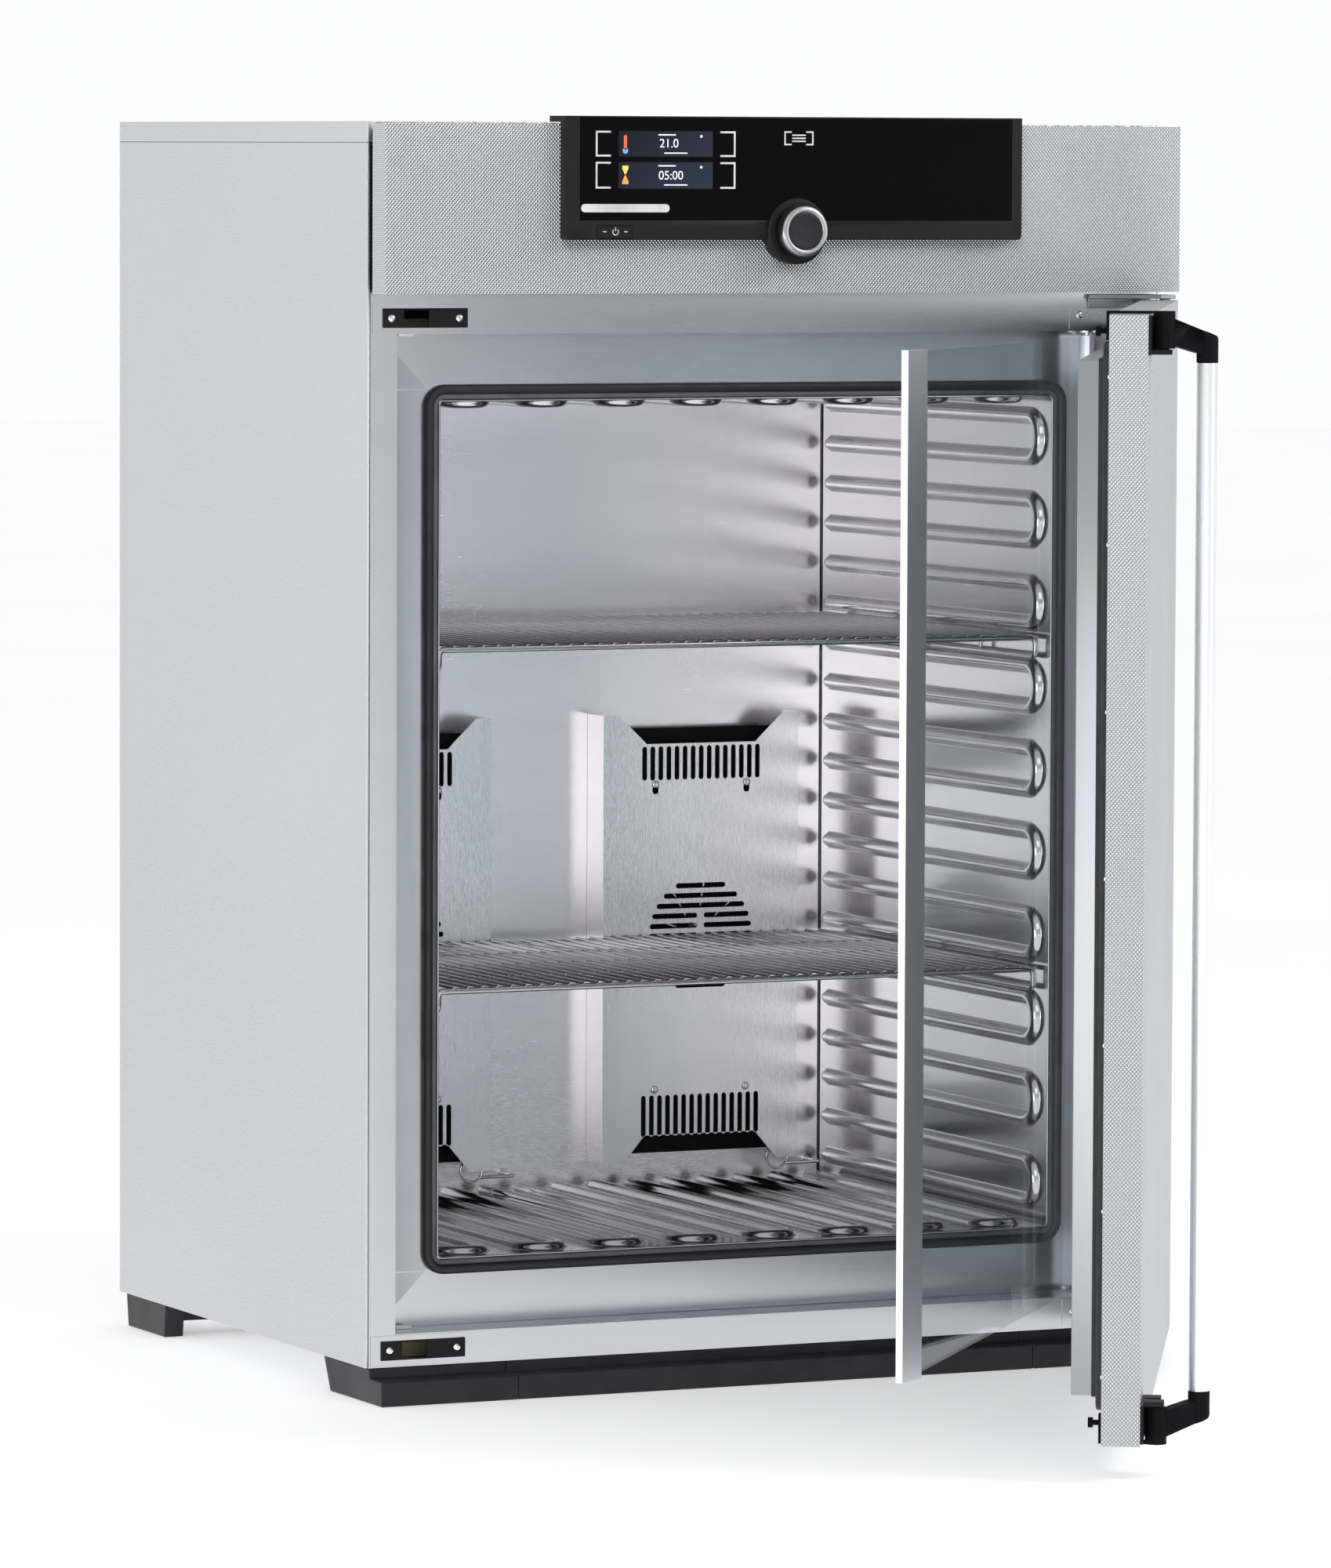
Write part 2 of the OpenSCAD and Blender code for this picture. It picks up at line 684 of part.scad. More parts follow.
// inner sheet of the door with the raised block that fills the recess
module door_block() {
  color(steel_satin) on_outer_door() difference() {
    union() {
      wide_slab(half_w - sheet - 0.3, [door_t - sheet, door_t],
                [door_z0 + sheet + 0.3, door_z1 - sheet - 0.3]);
      wide_slab(block_x, [door_t - sheet, block_y1], [block_z0, block_z1]);
    }
    wide_slab(block_x - sheet, [door_t - sheet - 1, block_y1 - sheet], [block_z0 + sheet, block_z1 - sheet]);
  }
}

module door_seal() {
  color(grey_rubber) on_outer_door()
    standing_frame(seal_x, [seal_z0, seal_z1], 16, seal_band, door_t, seal_t);
}

module door_hinge_blocks() {
  color(steel_satin) on_outer_door() for (z = [door_z0 + sheet + 0.2, door_z1 - sheet - 30.2]) difference() {
    slab([384, half_w - sheet - 0.3], [sheet + 0.2, door_t - sheet - 0.3], [z, z + 30]);
    rod([door_hinge[0], door_hinge[1], z - 1], "z", 40, hinge_pin_r + hinge_gap);
  }
}

// arm that carries the door's pin, with a flange on the cover plate
module hinge_bracket() {
  arm_z = door_z1 + 1.3;
  flange_x = 334;
  plate_y = frame_y - corner_plate_t;
  color(steel_bright) {
    translate([0, 0, arm_z]) linear_extrude(height = 4)
      polygon([[door_hinge[0] - 9, 3], [door_hinge[0] + 7, 3], [door_hinge[0] + 7, 24],
               [frame_x - 3, plate_y], [flange_x, plate_y], [flange_x, plate_y - 6]]);
    slab([flange_x, frame_x - 8], [plate_y - 2, plate_y], [door_z1 - 8, arm_z + 0.1]);
    rod([door_hinge[0], door_hinge[1], door_z1 - 24], "z", 25.4, hinge_pin_r);
  }
}

module hinge_brackets() {
  place() {
    hinge_bracket();
    upside_down() hinge_bracket();
  }
}

// plate with a lug, an upright pin for the handle's arm and a cheek beside the arm's barrel
module handle_bearing() {
  z0 = door_z1 - bearing_h;
  lug_t = 4.4;
  slab([-404, -330], [-2.2, 0], [z0, door_z1 - 1]);
  slab([pivot[0] - 9, pivot[0] + 9], [pivot[1] - 7, -2.1], [z0, z0 + lug_t]);
  rod([pivot[0], pivot[1], z0 + lug_t - 0.1], "z", 27.5, pivot_r);
  slab([-350, -330], [-16, -2.1], [z0, door_z1 - 1]);
}

module handle_bearings() {
  color(black_plastic) on_outer_door() {
    handle_bearing();
    upside_down() handle_bearing();
  }
}

// lever around the end of the door: barrel, sloping arm to the bar, and the latch hook on the inner side
module handle_arm() {
  z0 = door_z1 - bearing_h + 5.4;
  top = door_z1 + 2.9;
  plate_y = [door_t + 1.6, door_t + 3.8];
  neck_r = 2.4;
  head_y = [42.8, 47.2];
  difference() {
    union() {
      rod([pivot[0], pivot[1], z0], "z", top - z0, barrel_r);
      sloping_arm(z0 + 3, door_z1 - 3);
      slab([pivot[0] - 6, pivot[0] + 8], [pivot[1], plate_y[1]], [door_z1 + 0.5, top]);
      slab([pivot[0] - 6, pivot[0] + 8], plate_y, [strike_z[1] - 8, top]);
      elbow(door_z1 - 3);
    }
    rod([pivot[0], pivot[1], z0 - 1], "z", 29, pivot_r + hinge_gap);
  }
  rod([hook_x, plate_y[1] - 0.1, strike_z[1]], "y", head_y[0] - plate_y[1] + 0.5, neck_r);
  rod([hook_x, head_y[0], strike_z[1]], "y", head_y[1] - head_y[0], 4.6);
}

// an outline in the upright plane from the handle's axis to the bar, thickened to both sides
module in_arm_plane(thick) {
  aim = atan2(bar_at[1] - pivot[1], bar_at[0] - pivot[0]);
  translate([pivot[0], pivot[1], 0]) rotate([0, 0, aim]) rotate([90, 0, 0])
    translate([0, 0, -thick / 2]) linear_extrude(height = thick) children();
}

// height of the arm's upper edge, which falls from its root to above the bar
function arm_top(reach, root_z1) =
  root_z1 - (root_z1 - bar_z1 - elbow_h) * (reach - 5) / (arm_reach - 1);

// web from the barrel to the elbow; its far end sits lower than its root
module sloping_arm(root_z0, root_z1) {
  tip_z0 = bar_z1 + 8;
  in_arm_plane(14)
    polygon([[5, root_z0], [5, root_z1], [arm_reach + 4, arm_top(arm_reach + 4, root_z1)],
             [arm_reach + 4, tip_z0], [arm_reach - 9, tip_z0]]);
}

// upright end around the bar, cut off along the slope of the arm and with its outer corner broken
module elbow(root_z1) {
  r = bar_d / 2 + 0.6;
  low = bar_z1 - 1;
  in_front = arm_reach - r - 1;
  behind = arm_reach + r + 1;
  intersection() {
    rod([bar_at[0], bar_at[1], bar_z1], "z", elbow_h + r, r);
    in_arm_plane(4 * r)
      polygon([[in_front, low], [in_front, arm_top(in_front, root_z1)],
               [arm_reach + r - 3.5, arm_top(arm_reach + r - 3.5, root_z1)],
               [arm_reach + r - 1, arm_top(arm_reach + r, root_z1) - 1],
               [behind, arm_top(behind, root_z1) - 4.5], [behind, low]]);
  }
}

module handle_arm_upper() { color(black_plastic) on_outer_door() handle_arm(); }
module handle_arm_lower() { color(black_plastic) on_outer_door() upside_down() handle_arm(); }

module handle_bar() {
  color([0.86, 0.87, 0.88]) on_outer_door()
    rod([bar_at[0], bar_at[1], 2 * latch_mirror_z - bar_z1], "z", 2 * (bar_z1 - latch_mirror_z), bar_d / 2);
}

// ---------- glass door ----------

module glass_pane() {
  color([0.75, 0.85, 0.85, 0.3]) on_glass_door()
    slab([glass_x0 + 4, glass_hinge[0] - 9], [glass_hinge[1], glass_hinge[1] + glass_t],
         [glass_z0, glass_z1]);
}

// strip at the free edge: a channel around the glass and a flap that flares out for the fingers
module glass_grip() {
  front = glass_hinge[1];
  color(steel_satin) on_glass_door() {
    slab([glass_x0, glass_x0 + 3.8], [front - 0.8, front + glass_t + 0.6], [glass_z0 - 1, glass_z1 + 1]);
    translate([glass_x0 + 0.3, front - 0.8, glass_z0 - 1]) rotate([0, 0, -grip_flare])
      cube([grip_w, 1.5, glass_z1 - glass_z0 + 2]);
  }
}

module glass_hinge_profile() {
  x = glass_hinge[0];
  y = glass_hinge[1];
  color(steel_satin) on_glass_door() difference() {
    slab([x - 14, x + 6], [y - 5, y + glass_t + 0.6], [glass_z0 - 1, glass_z1 + 1]);
    slab([x - 15, x - 8.8], [y - 0.2, y + glass_t + 0.2], [glass_z0 - 2, glass_z1 + 2]);
    rod([x, y, glass_z0 - 5], "z", glass_z1 - glass_z0 + 10, glass_pin_r + hinge_gap);
  }
}

module glass_pins() {
  color(steel_bright) place() for (end = [0, 1]) {
    z = end == 0 ? recess_z0 : recess_z1 - 14;
    rod([glass_hinge[0], glass_hinge[1], z], "z", 14, glass_pin_r);
    rod([glass_hinge[0], glass_hinge[1], end == 0 ? recess_z0 : recess_z1 - 2.5], "z", 2.5, 8);
  }
}

// small catches in the recess that hold the free edge of the closed glass
module glass_catches() {
  color(steel_bright) place() for (z = [recess_z0, recess_z1 - 2.8])
    slab([-368, -352], [71, 81], [z, z + 2.8]);
}

// ---------- base ----------

module base_frame() {
  color(black_plastic) place() {
    wide_slab(foot_joint_x - 0.3, [foot_front_y + 1, 60], [0, foot_step_z]);
    wide_slab(foot_joint_x - 0.3, [frame_y + 0.4, 60], [foot_step_z - 1, foot_h]);
    for (s = [-1, 1]) mirror([s < 0 ? 1 : 0, 0, 0]) slab(runner_x, [59, 560], [0, foot_h]);
    wide_slab(387, [558, 590], [14.5, foot_h]);
  }
}

module foot_side(profile, x0, x1) {
  translate([x0, 0, 0]) rotate([90, 0, 90]) linear_extrude(height = x1 - x0) polygon(profile);
}

module feet_front() {
  profile = [[foot_front_y, 0], [foot_front_y, foot_step_z], [frame_y, foot_step_z + 0.6],
             [frame_y + 0.4, foot_h], [151, foot_h], [135, 0]];
  color(black_plastic) place() for (s = [-1, 1]) mirror([s < 0 ? 1 : 0, 0, 0])
    foot_side(profile, foot_joint_x, foot_x);
}

module feet_rear() {
  color(black_plastic) place() for (s = [-1, 1]) mirror([s < 0 ? 1 : 0, 0, 0])
    foot_side([[552, 0], [548, foot_h], [653, foot_h], [648, 0]], foot_x - 20, foot_x);
}

// ---------- rear fittings ----------

module power_inlet() {
  color(black_plastic) place() translate([inlet_at[0], cabinet_d, inlet_at[1]]) difference() {
    union() {
      wide_slab(30, [0, 3], [-16, 16]);
      wide_slab(24, [-24, 0.01], [-12, 12]);
    }
    wide_slab(20, [-18, 4], [-8.5, 8.5]);
  }
}

module exhaust_port() {
  color(steel_satin) place() difference() {
    union() {
      rod([port_at[0], cabinet_d - 40, port_at[1]], "y", 55, port_r);
      rod([port_at[0], cabinet_d + 0.01, port_at[1]], "y", 3, port_r + 12);
    }
    rod([port_at[0], cabinet_d - 41, port_at[1]], "y", 60, port_r - 2);
    rod([port_at[0], cabinet_d - 12, port_at[1] - port_r - 2], "z", 2 * port_r + 4, 2 + hinge_gap);
  }
}

module exhaust_flap() {
  color(steel_bright) place() {
    rod([port_at[0], cabinet_d - 12.8, port_at[1]], "y", 1.6, port_r - 3);
    rod([port_at[0], cabinet_d - 12, port_at[1] - port_r + 0.4], "z", 2 * port_r + 8, 2);
    rod([port_at[0], cabinet_d - 12, port_at[1] + port_r + 2], "z", 6, 5);
  }
}

// ---------- output ----------

casing_side(-1);  // casing_left
casing_side(1);  // casing_right
casing_lid();
casing_rear();
casing_floor();
electronics_deck();
front_fascia();
fascia_spacer();
front_frame();
door_recess();
corner_plates();
strike_plates();
corner_screws();
liner_side(-1);  // liner_left
liner_side(1);  // liner_right
liner_floor();
liner_ceiling();
liner_back();
chamber_gasket();
insulation_wrap();
insulation_rear();
heater_mats();
fan_cover(-fan_x);  // fan_cover_left
fan_cover(fan_x);  // fan_cover_right
cover_screws();
fan_motors();
fan_rotor(-fan_x);  // fan_rotor_left
fan_rotor(fan_x);  // fan_rotor_right
temperature_probes();
shelf(shelf_levels[1]);  // shelf_upper
shelf(shelf_levels[0]);  // shelf_lower
panel_housing();
panel_glass();
control_board();
knob_bezel();
knob_shaft();
knob_ring();
knob_cap();
main_switch();
door_skin();
door_insulation();
door_block();
door_seal();
door_hinge_blocks();
hinge_brackets();
handle_bearings();
handle_arm_upper();
handle_arm_lower();
handle_bar();
glass_pane();
glass_grip();
glass_hinge_profile();
glass_pins();
glass_catches();
base_frame();
feet_front();
feet_rear();
power_inlet();
exhaust_port();
exhaust_flap();
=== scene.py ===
"""Looks of the laboratory incubator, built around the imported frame.

Everything is in metres in the frame's own axes. The sizes below are millimetres in the drawing position,
where Y = 0 is the face of the upper fascia; at() turns such a point into the frame's place.
"""
import json
import math

import bmesh
import bpy
from mathutils import Matrix, Vector

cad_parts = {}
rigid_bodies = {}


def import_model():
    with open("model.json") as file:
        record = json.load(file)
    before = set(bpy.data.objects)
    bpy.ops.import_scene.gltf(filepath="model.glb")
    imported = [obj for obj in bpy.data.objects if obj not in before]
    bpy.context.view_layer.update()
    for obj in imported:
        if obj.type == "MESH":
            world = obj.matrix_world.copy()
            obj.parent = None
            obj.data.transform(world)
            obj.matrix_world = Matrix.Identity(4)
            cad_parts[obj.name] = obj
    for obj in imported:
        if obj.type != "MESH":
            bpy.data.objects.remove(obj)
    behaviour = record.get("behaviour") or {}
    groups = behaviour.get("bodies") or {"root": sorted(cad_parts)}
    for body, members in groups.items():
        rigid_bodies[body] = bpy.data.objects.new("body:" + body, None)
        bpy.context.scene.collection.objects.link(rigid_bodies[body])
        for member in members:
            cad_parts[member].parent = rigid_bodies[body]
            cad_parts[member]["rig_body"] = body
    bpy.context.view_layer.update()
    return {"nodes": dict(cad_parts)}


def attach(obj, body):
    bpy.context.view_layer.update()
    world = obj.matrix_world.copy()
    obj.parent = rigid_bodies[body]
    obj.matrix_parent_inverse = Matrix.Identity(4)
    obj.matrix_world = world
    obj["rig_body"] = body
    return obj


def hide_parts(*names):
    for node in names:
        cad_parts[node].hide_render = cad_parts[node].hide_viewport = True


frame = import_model()

# ---------- sizes, as in the CAD model ----------
MID_Y = 331.0
CABINET_H = 1186.0
HALF_W = 412.0
FRAME_Y = 41.0
FRAME_T = 1.5
FRAME_X = HALF_W - 3.0
FRAME_Z = (33.0, CABINET_H - 21.0)
PANEL_HOLE_X = 216.5
PANEL_HOLE_Z = (1091.5, 1160.8)
LATCH_HOLE = (32.0, 8.6)
RECESS_Y = 88.0
RECESS_X = 382.0
RECESS_Z = (63.5, 990.5)
CHAMBER_X = 320.0
CHAMBER_Z = (127.0, 927.0)
BACK_Y = 588.0
RIB_PITCH = 40.0
LOOP_FRONT_Y = 107.0
BEAD_R = 6.7
LEG_END_Y = BACK_Y - 14
FAN_X = 168.5
FAN_Z = 376.5
COVER_Y = BACK_Y - 39
COVER_HALF = 107.5
COVER_Z = (149.0, 599.0)
COVER_SCREW_X = 50.3
COVER_SCREW_Z = (529.0, 222.7)
SHELF_LEGS = (347.0, 667.0)
SHELF_X = 316.0
SHELF_Y = (99.0, COVER_Y - 4)
PANEL_FRONT = -11.0
KNOB = (1.0, 1086.0)
OUTER_HINGE, OUTER_OPEN = (402.8, 12.2), 60.0
GLASS_OPEN = 49.5
DOOR_T = 34.0
BLOCK_X = 374.0
BLOCK_Z = (73.5, 980.0)
SEAL_X = 395.0
SEAL_Z = (61.7, 996.0)
SEAL_CORNER = 16.0
STRIKE_Z = (48.5, 1005.4)
STRIKE_X = -354.5
SCREW_X = 326.0


def at(x, y, z):
    """A point of the drawing position in the frame's metres."""
    return Vector((x, y - MID_Y, z)) / 1000


def swung(hinge, angle):
    """The turn of a door about its upright hinge line."""
    axis = at(hinge[0], hinge[1], 0)
    turn = Matrix.Rotation(math.radians(angle), 4, "Z")
    return Matrix.Translation(axis) @ turn @ Matrix.Translation(-axis)


ON_OUTER = swung(OUTER_HINGE, OUTER_OPEN)


# ---------- camera ----------
def make_camera():
    """Camera fitted to the corners seen in the photograph. The angles are in radians."""
    yaw, pitch, roll = 0.4363, -0.0699, 0.0041
    forward = Vector((math.sin(yaw) * math.cos(pitch), math.cos(yaw) * math.cos(pitch), math.sin(pitch)))
    level = Vector((math.cos(yaw), -math.sin(yaw), 0))
    up = level.cross(forward)
    right = level * math.cos(roll) + up * math.sin(roll)
    up = up * math.cos(roll) - level * math.sin(roll)
    data = bpy.data.cameras.new("camera")
    data.lens, data.sensor_width = 207.16, 36
    data.clip_start, data.clip_end = 0.1, 100
    cam = bpy.data.objects.new("camera", data)
    bpy.context.scene.collection.objects.link(cam)
    turn = Matrix((right, up, -forward)).transposed().to_4x4()
    cam.matrix_world = Matrix.Translation((-3.67103, -7.93232, 1.15873)) @ turn
    bpy.context.scene.camera = cam


make_camera()


# ---------- materials ----------
class Nodes:
    """Short calls that add nodes to the tree of a material or of the world."""

    def __init__(self, tree):
        self.tree = tree

    def link(self, node, key, value):
        if isinstance(value, bpy.types.NodeSocket):
            self.tree.links.new(value, node.inputs[key])
        else:
            node.inputs[key].default_value = value

    def add(self, kind, inputs=None, out=0, **props):
        node = self.tree.nodes.new("ShaderNode" + kind)
        for key, value in props.items():
            setattr(node, key, value)
        for key, value in (inputs or {}).items():
            self.link(node, key, value)
        return node.outputs[out]

    def math(self, op, a, b=0.0):
        return self.add("Math", {0: a, 1: b}, operation=op)

    def ramp(self, value, low, high, to_low, to_high):
        return self.add("MapRange", {0: value, 1: low, 2: high, 3: to_low, 4: to_high})


class Shader(Nodes):
    """A material being built around its Principled shader."""

    def __init__(self, name, color, metallic, roughness):
        self.mat = bpy.data.materials.new(name)
        self.mat.use_nodes = True
        super().__init__(self.mat.node_tree)
        self.bsdf = self.tree.nodes["Principled BSDF"]
        self.set("Base Color", (*color, 1))
        self.set("Metallic", metallic)
        self.set("Roughness", roughness)
        self.coords = {}

    def set(self, key, value):
        self.link(self.bsdf, key, value)

    def local(self, kind, turn):
        """Object coordinates or normals with a door's turn taken out."""
        vector = self.add("TexCoord", out=kind)
        if turn:
            vector = self.add("VectorRotate", {"Vector": vector, "Angle": -math.radians(turn)},
                              rotation_type="Z_AXIS")
        return vector

    def across(self, turn=0):
        """Millimetres along the surface: sideways, and up or, on a level face, to the back."""
        if turn not in self.coords:
            place = self.add("SeparateXYZ", {0: self.local("Object", turn)}).node.outputs
            facing = self.add("SeparateXYZ", {0: self.local("Normal", turn)}).node.outputs
            side_on = self.math("GREATER_THAN", self.math("ABSOLUTE", facing[0]), 0.7)
            level = self.math("GREATER_THAN", self.math("ABSOLUTE", facing[2]), 0.7)

            def pick(choice, yes, no):
                return self.math("ADD", self.math("MULTIPLY", choice, yes),
                                 self.math("MULTIPLY", self.math("SUBTRACT", 1.0, choice), no))

            u = self.math("MULTIPLY", pick(side_on, place[1], place[0]), 1000.0)
            v = self.math("MULTIPLY", pick(level, place[1], place[2]), 1000.0)
            self.coords[turn] = (u, v)
        return self.coords[turn]

    def noise(self, scale, detail=2.0, stretch=(1, 1, 1), turn=0):
        """Noise of a number of cells per metre, drawn out along some axes."""
        vector = self.add("VectorMath", {0: self.local("Object", turn), 1: stretch}, operation="MULTIPLY")
        return self.add("TexNoise", {"Vector": vector, "Scale": scale, "Detail": detail})

    def wave(self, value, period):
        """0 to 1 and back once in each period."""
        return self.math("MULTIPLY", self.math("PINGPONG", self.math("DIVIDE", value, period), 0.5), 2.0)

    def color_mix(self, share, first, second):
        return self.add("MixRGB", {"Fac": share, "Color1": (*first, 1), "Color2": (*second, 1)})

    def vary_color(self, value, dark, light, low=0.3, high=0.7):
        self.set("Base Color", self.color_mix(self.ramp(value, low, high, 0.0, 1.0), dark, light))

    def vary_roughness(self, value, low, high):
        self.set("Roughness", self.ramp(value, 0.3, 0.7, low, high))

    def bump(self, height, distance):
        self.set("Normal", self.add("Bump", {"Height": height, "Distance": distance, "Strength": 1.0}))


def scaled(color, k):
    return tuple(min(1.0, c * k) for c in color)


def linen_steel(name, color, turn=0):
    """Sheet with a very fine linen weave pressed into it, with painted shade in the weave's valleys over a
    random cloudy tone.
    """
    s = Shader(name, color, 1.0, 0.42)
    u, v = s.across(turn)
    stray = s.math("MULTIPLY", s.noise(260.0, 1.0), 2.2)
    weave = s.math("ADD", s.wave(s.math("ADD", u, stray), 1.9), s.wave(s.math("ADD", v, stray), 1.3))
    cloud = s.noise(2.2, 3.0)
    # Colour: painted shade in the weave's valleys, mixed with a random cloudy tone.
    s.vary_color(s.math("ADD", s.math("MULTIPLY", weave, 0.22), s.math("MULTIPLY", cloud, 0.56)),
                 scaled(color, 0.94), scaled(color, 1.05))
    s.vary_roughness(cloud, 0.38, 0.46)
    s.bump(weave, 0.00012)
    return s.mat


def diamond_steel(name, color, turn=0):
    """Sheet with rows of small staggered pyramids pressed into it, with painted shade in their valleys and
    painted light on their tops.
    """
    s = Shader(name, color, 1.0, 0.36)
    u, v = s.across(turn)
    wide, high = 3.4, 3.8
    first = s.wave(s.math("ADD", s.math("DIVIDE", u, wide), s.math("DIVIDE", v, high)), 1.0)
    second = s.wave(s.math("SUBTRACT", s.math("DIVIDE", u, wide), s.math("DIVIDE", v, high)), 1.0)
    height = s.math("MINIMUM", first, second)
    # Painted shade and light: the colour is darker in the valleys and lighter on the tops of the pyramids.
    s.vary_color(height, scaled(color, 0.46), scaled(color, 1.25), 0.08, 0.62)
    s.vary_roughness(s.noise(6.0), 0.32, 0.40)
    s.bump(height, 0.0008)
    return s.mat


def brushed_steel(name, color, rough, along, turn=0):
    """Sheet brushed along one axis: fine scratches, long soft streaks and faint handling marks."""
    s = Shader(name, color, 1.0, sum(rough) / 2)
    fine = {"x": (1, 40, 40), "y": (40, 1, 40), "z": (40, 40, 1)}[along]
    grain = s.noise(45.0, 3.0, fine, turn)
    streak = s.noise(5.0, 2.0, tuple(c ** 0.5 for c in fine), turn)
    s.vary_color(s.math("ADD", s.math("MULTIPLY", grain, 0.4), s.math("MULTIPLY", streak, 0.6)),
                 scaled(color, 0.965), scaled(color, 1.025))
    s.vary_roughness(s.math("ADD", s.math("MULTIPLY", grain, 0.5), s.math("MULTIPLY", s.noise(3.0), 0.5)),
                     rough[0], rough[1])
    return s.mat


def polished_metal(name, color, rough=(0.08, 0.16)):
    s = Shader(name, color, 1.0, sum(rough) / 2)
    s.vary_roughness(s.noise(60.0, 3.0), rough[0], rough[1])
    s.vary_color(s.noise(25.0), scaled(color, 0.95), scaled(color, 1.03))
    s.bump(s.noise(900.0), 0.000004)
    return s.mat


def grained_plastic(name, color, rough=(0.38, 0.5), grain=1500.0, depth=0.00004, shine=0.16):
    s = Shader(name, color, 0.0, sum(rough) / 2)
    s.set("Specular IOR Level", shine)
    s.vary_color(s.noise(40.0, 3.0), scaled(color, 0.85), scaled(color, 1.2))
    s.vary_roughness(s.noise(18.0, 2.0), rough[0], rough[1])
    s.bump(s.noise(grain, 1.0), depth)
    return s.mat


def glossy_black(name):
    s = Shader(name, (0.0025, 0.0025, 0.003), 0.0, 0.06)
    s.set("Specular IOR Level", 0.05)
    s.vary_roughness(s.noise(9.0), 0.04, 0.08)
    s.vary_color(s.noise(4.0), (0.002, 0.002, 0.0025), (0.003, 0.003, 0.0035))
    return s.mat


def silicone(name, color):
    s = Shader(name, color, 0.0, 0.6)
    s.vary_color(s.noise(30.0, 3.0), scaled(color, 0.8), scaled(color, 1.25))
    s.vary_roughness(s.noise(50.0), 0.5, 0.66)
    s.bump(s.noise(700.0), 0.00003)
    return s.mat


def pane_glass(name):
    """Clear pane: what is behind it shows, with a mirror image that grows at low angles."""
    s = Shader(name, (1.0, 1.0, 1.0), 1.0, 0.0)
    tint = s.color_mix(s.noise(2.0), (0.93, 0.955, 0.955), (0.95, 0.965, 0.97))
    clear = s.add("BsdfTransparent", {"Color": tint})
    low = s.math("POWER", s.add("LayerWeight", {"Blend": 0.5}, out="Facing"), 4.0)
    share = s.math("ADD", 0.02, s.math("MULTIPLY", low, 0.22))
    mix = s.add("MixShader", {0: share, 1: clear, 2: s.bsdf.outputs[0]})
    s.tree.links.new(mix, s.tree.nodes["Material Output"].inputs["Surface"])
    return s.mat


def glowing(name, color, strength):
    s = Shader(name, color, 0.0, 0.3)
    s.vary_color(s.noise(120.0), scaled(color, 0.9), scaled(color, 1.1))
    s.set("Emission Color", (*color, 1))
    s.set("Emission Strength", strength)
    return s.mat


def display_screen(name):
    """Lit screen that is a little bluer and brighter towards its lower right corner."""
    s = Shader(name, (0.01, 0.012, 0.018), 0.0, 0.1)
    u, v = s.across()
    corner = s.ramp(s.math("SUBTRACT", u, v), -1340.0, -1210.0, 0.0, 1.0)
    s.set("Base Color", s.color_mix(corner, (0.010, 0.011, 0.015), (0.02, 0.026, 0.042)))
    s.set("Emission Color", s.color_mix(corner, (0.010, 0.012, 0.017), (0.022, 0.030, 0.05)))
    s.set("Emission Strength", 0.45)
    s.set("Specular IOR Level", 0.08)
    return s.mat


def wool(name):
    s = Shader(name, (0.62, 0.56, 0.40), 0.0, 0.95)
    fibre = s.noise(300.0, 6.0, (1, 1, 4))
    s.vary_color(fibre, (0.45, 0.40, 0.26), (0.74, 0.68, 0.52))
    s.bump(fibre, 0.0008)
    return s.mat


def foil(name):
    s = Shader(name, (0.55, 0.28, 0.08), 0.0, 0.3)
    _, v = s.across()
    s.vary_color(s.wave(v, 12.0), (0.5, 0.24, 0.06), (0.32, 0.14, 0.05), 0.6, 0.7)
    s.vary_roughness(s.noise(80.0), 0.22, 0.4)
    return s.mat


def circuit_board(name):
    s = Shader(name, (0.02, 0.16, 0.07), 0.0, 0.35)
    u, v = s.across()
    track = s.math("MAXIMUM", s.wave(u, 5.0), s.wave(v, 7.0))
    s.vary_color(track, (0.015, 0.12, 0.05), (0.05, 0.3, 0.14), 0.86, 0.92)
    s.bump(track, 0.00005)
    return s.mat


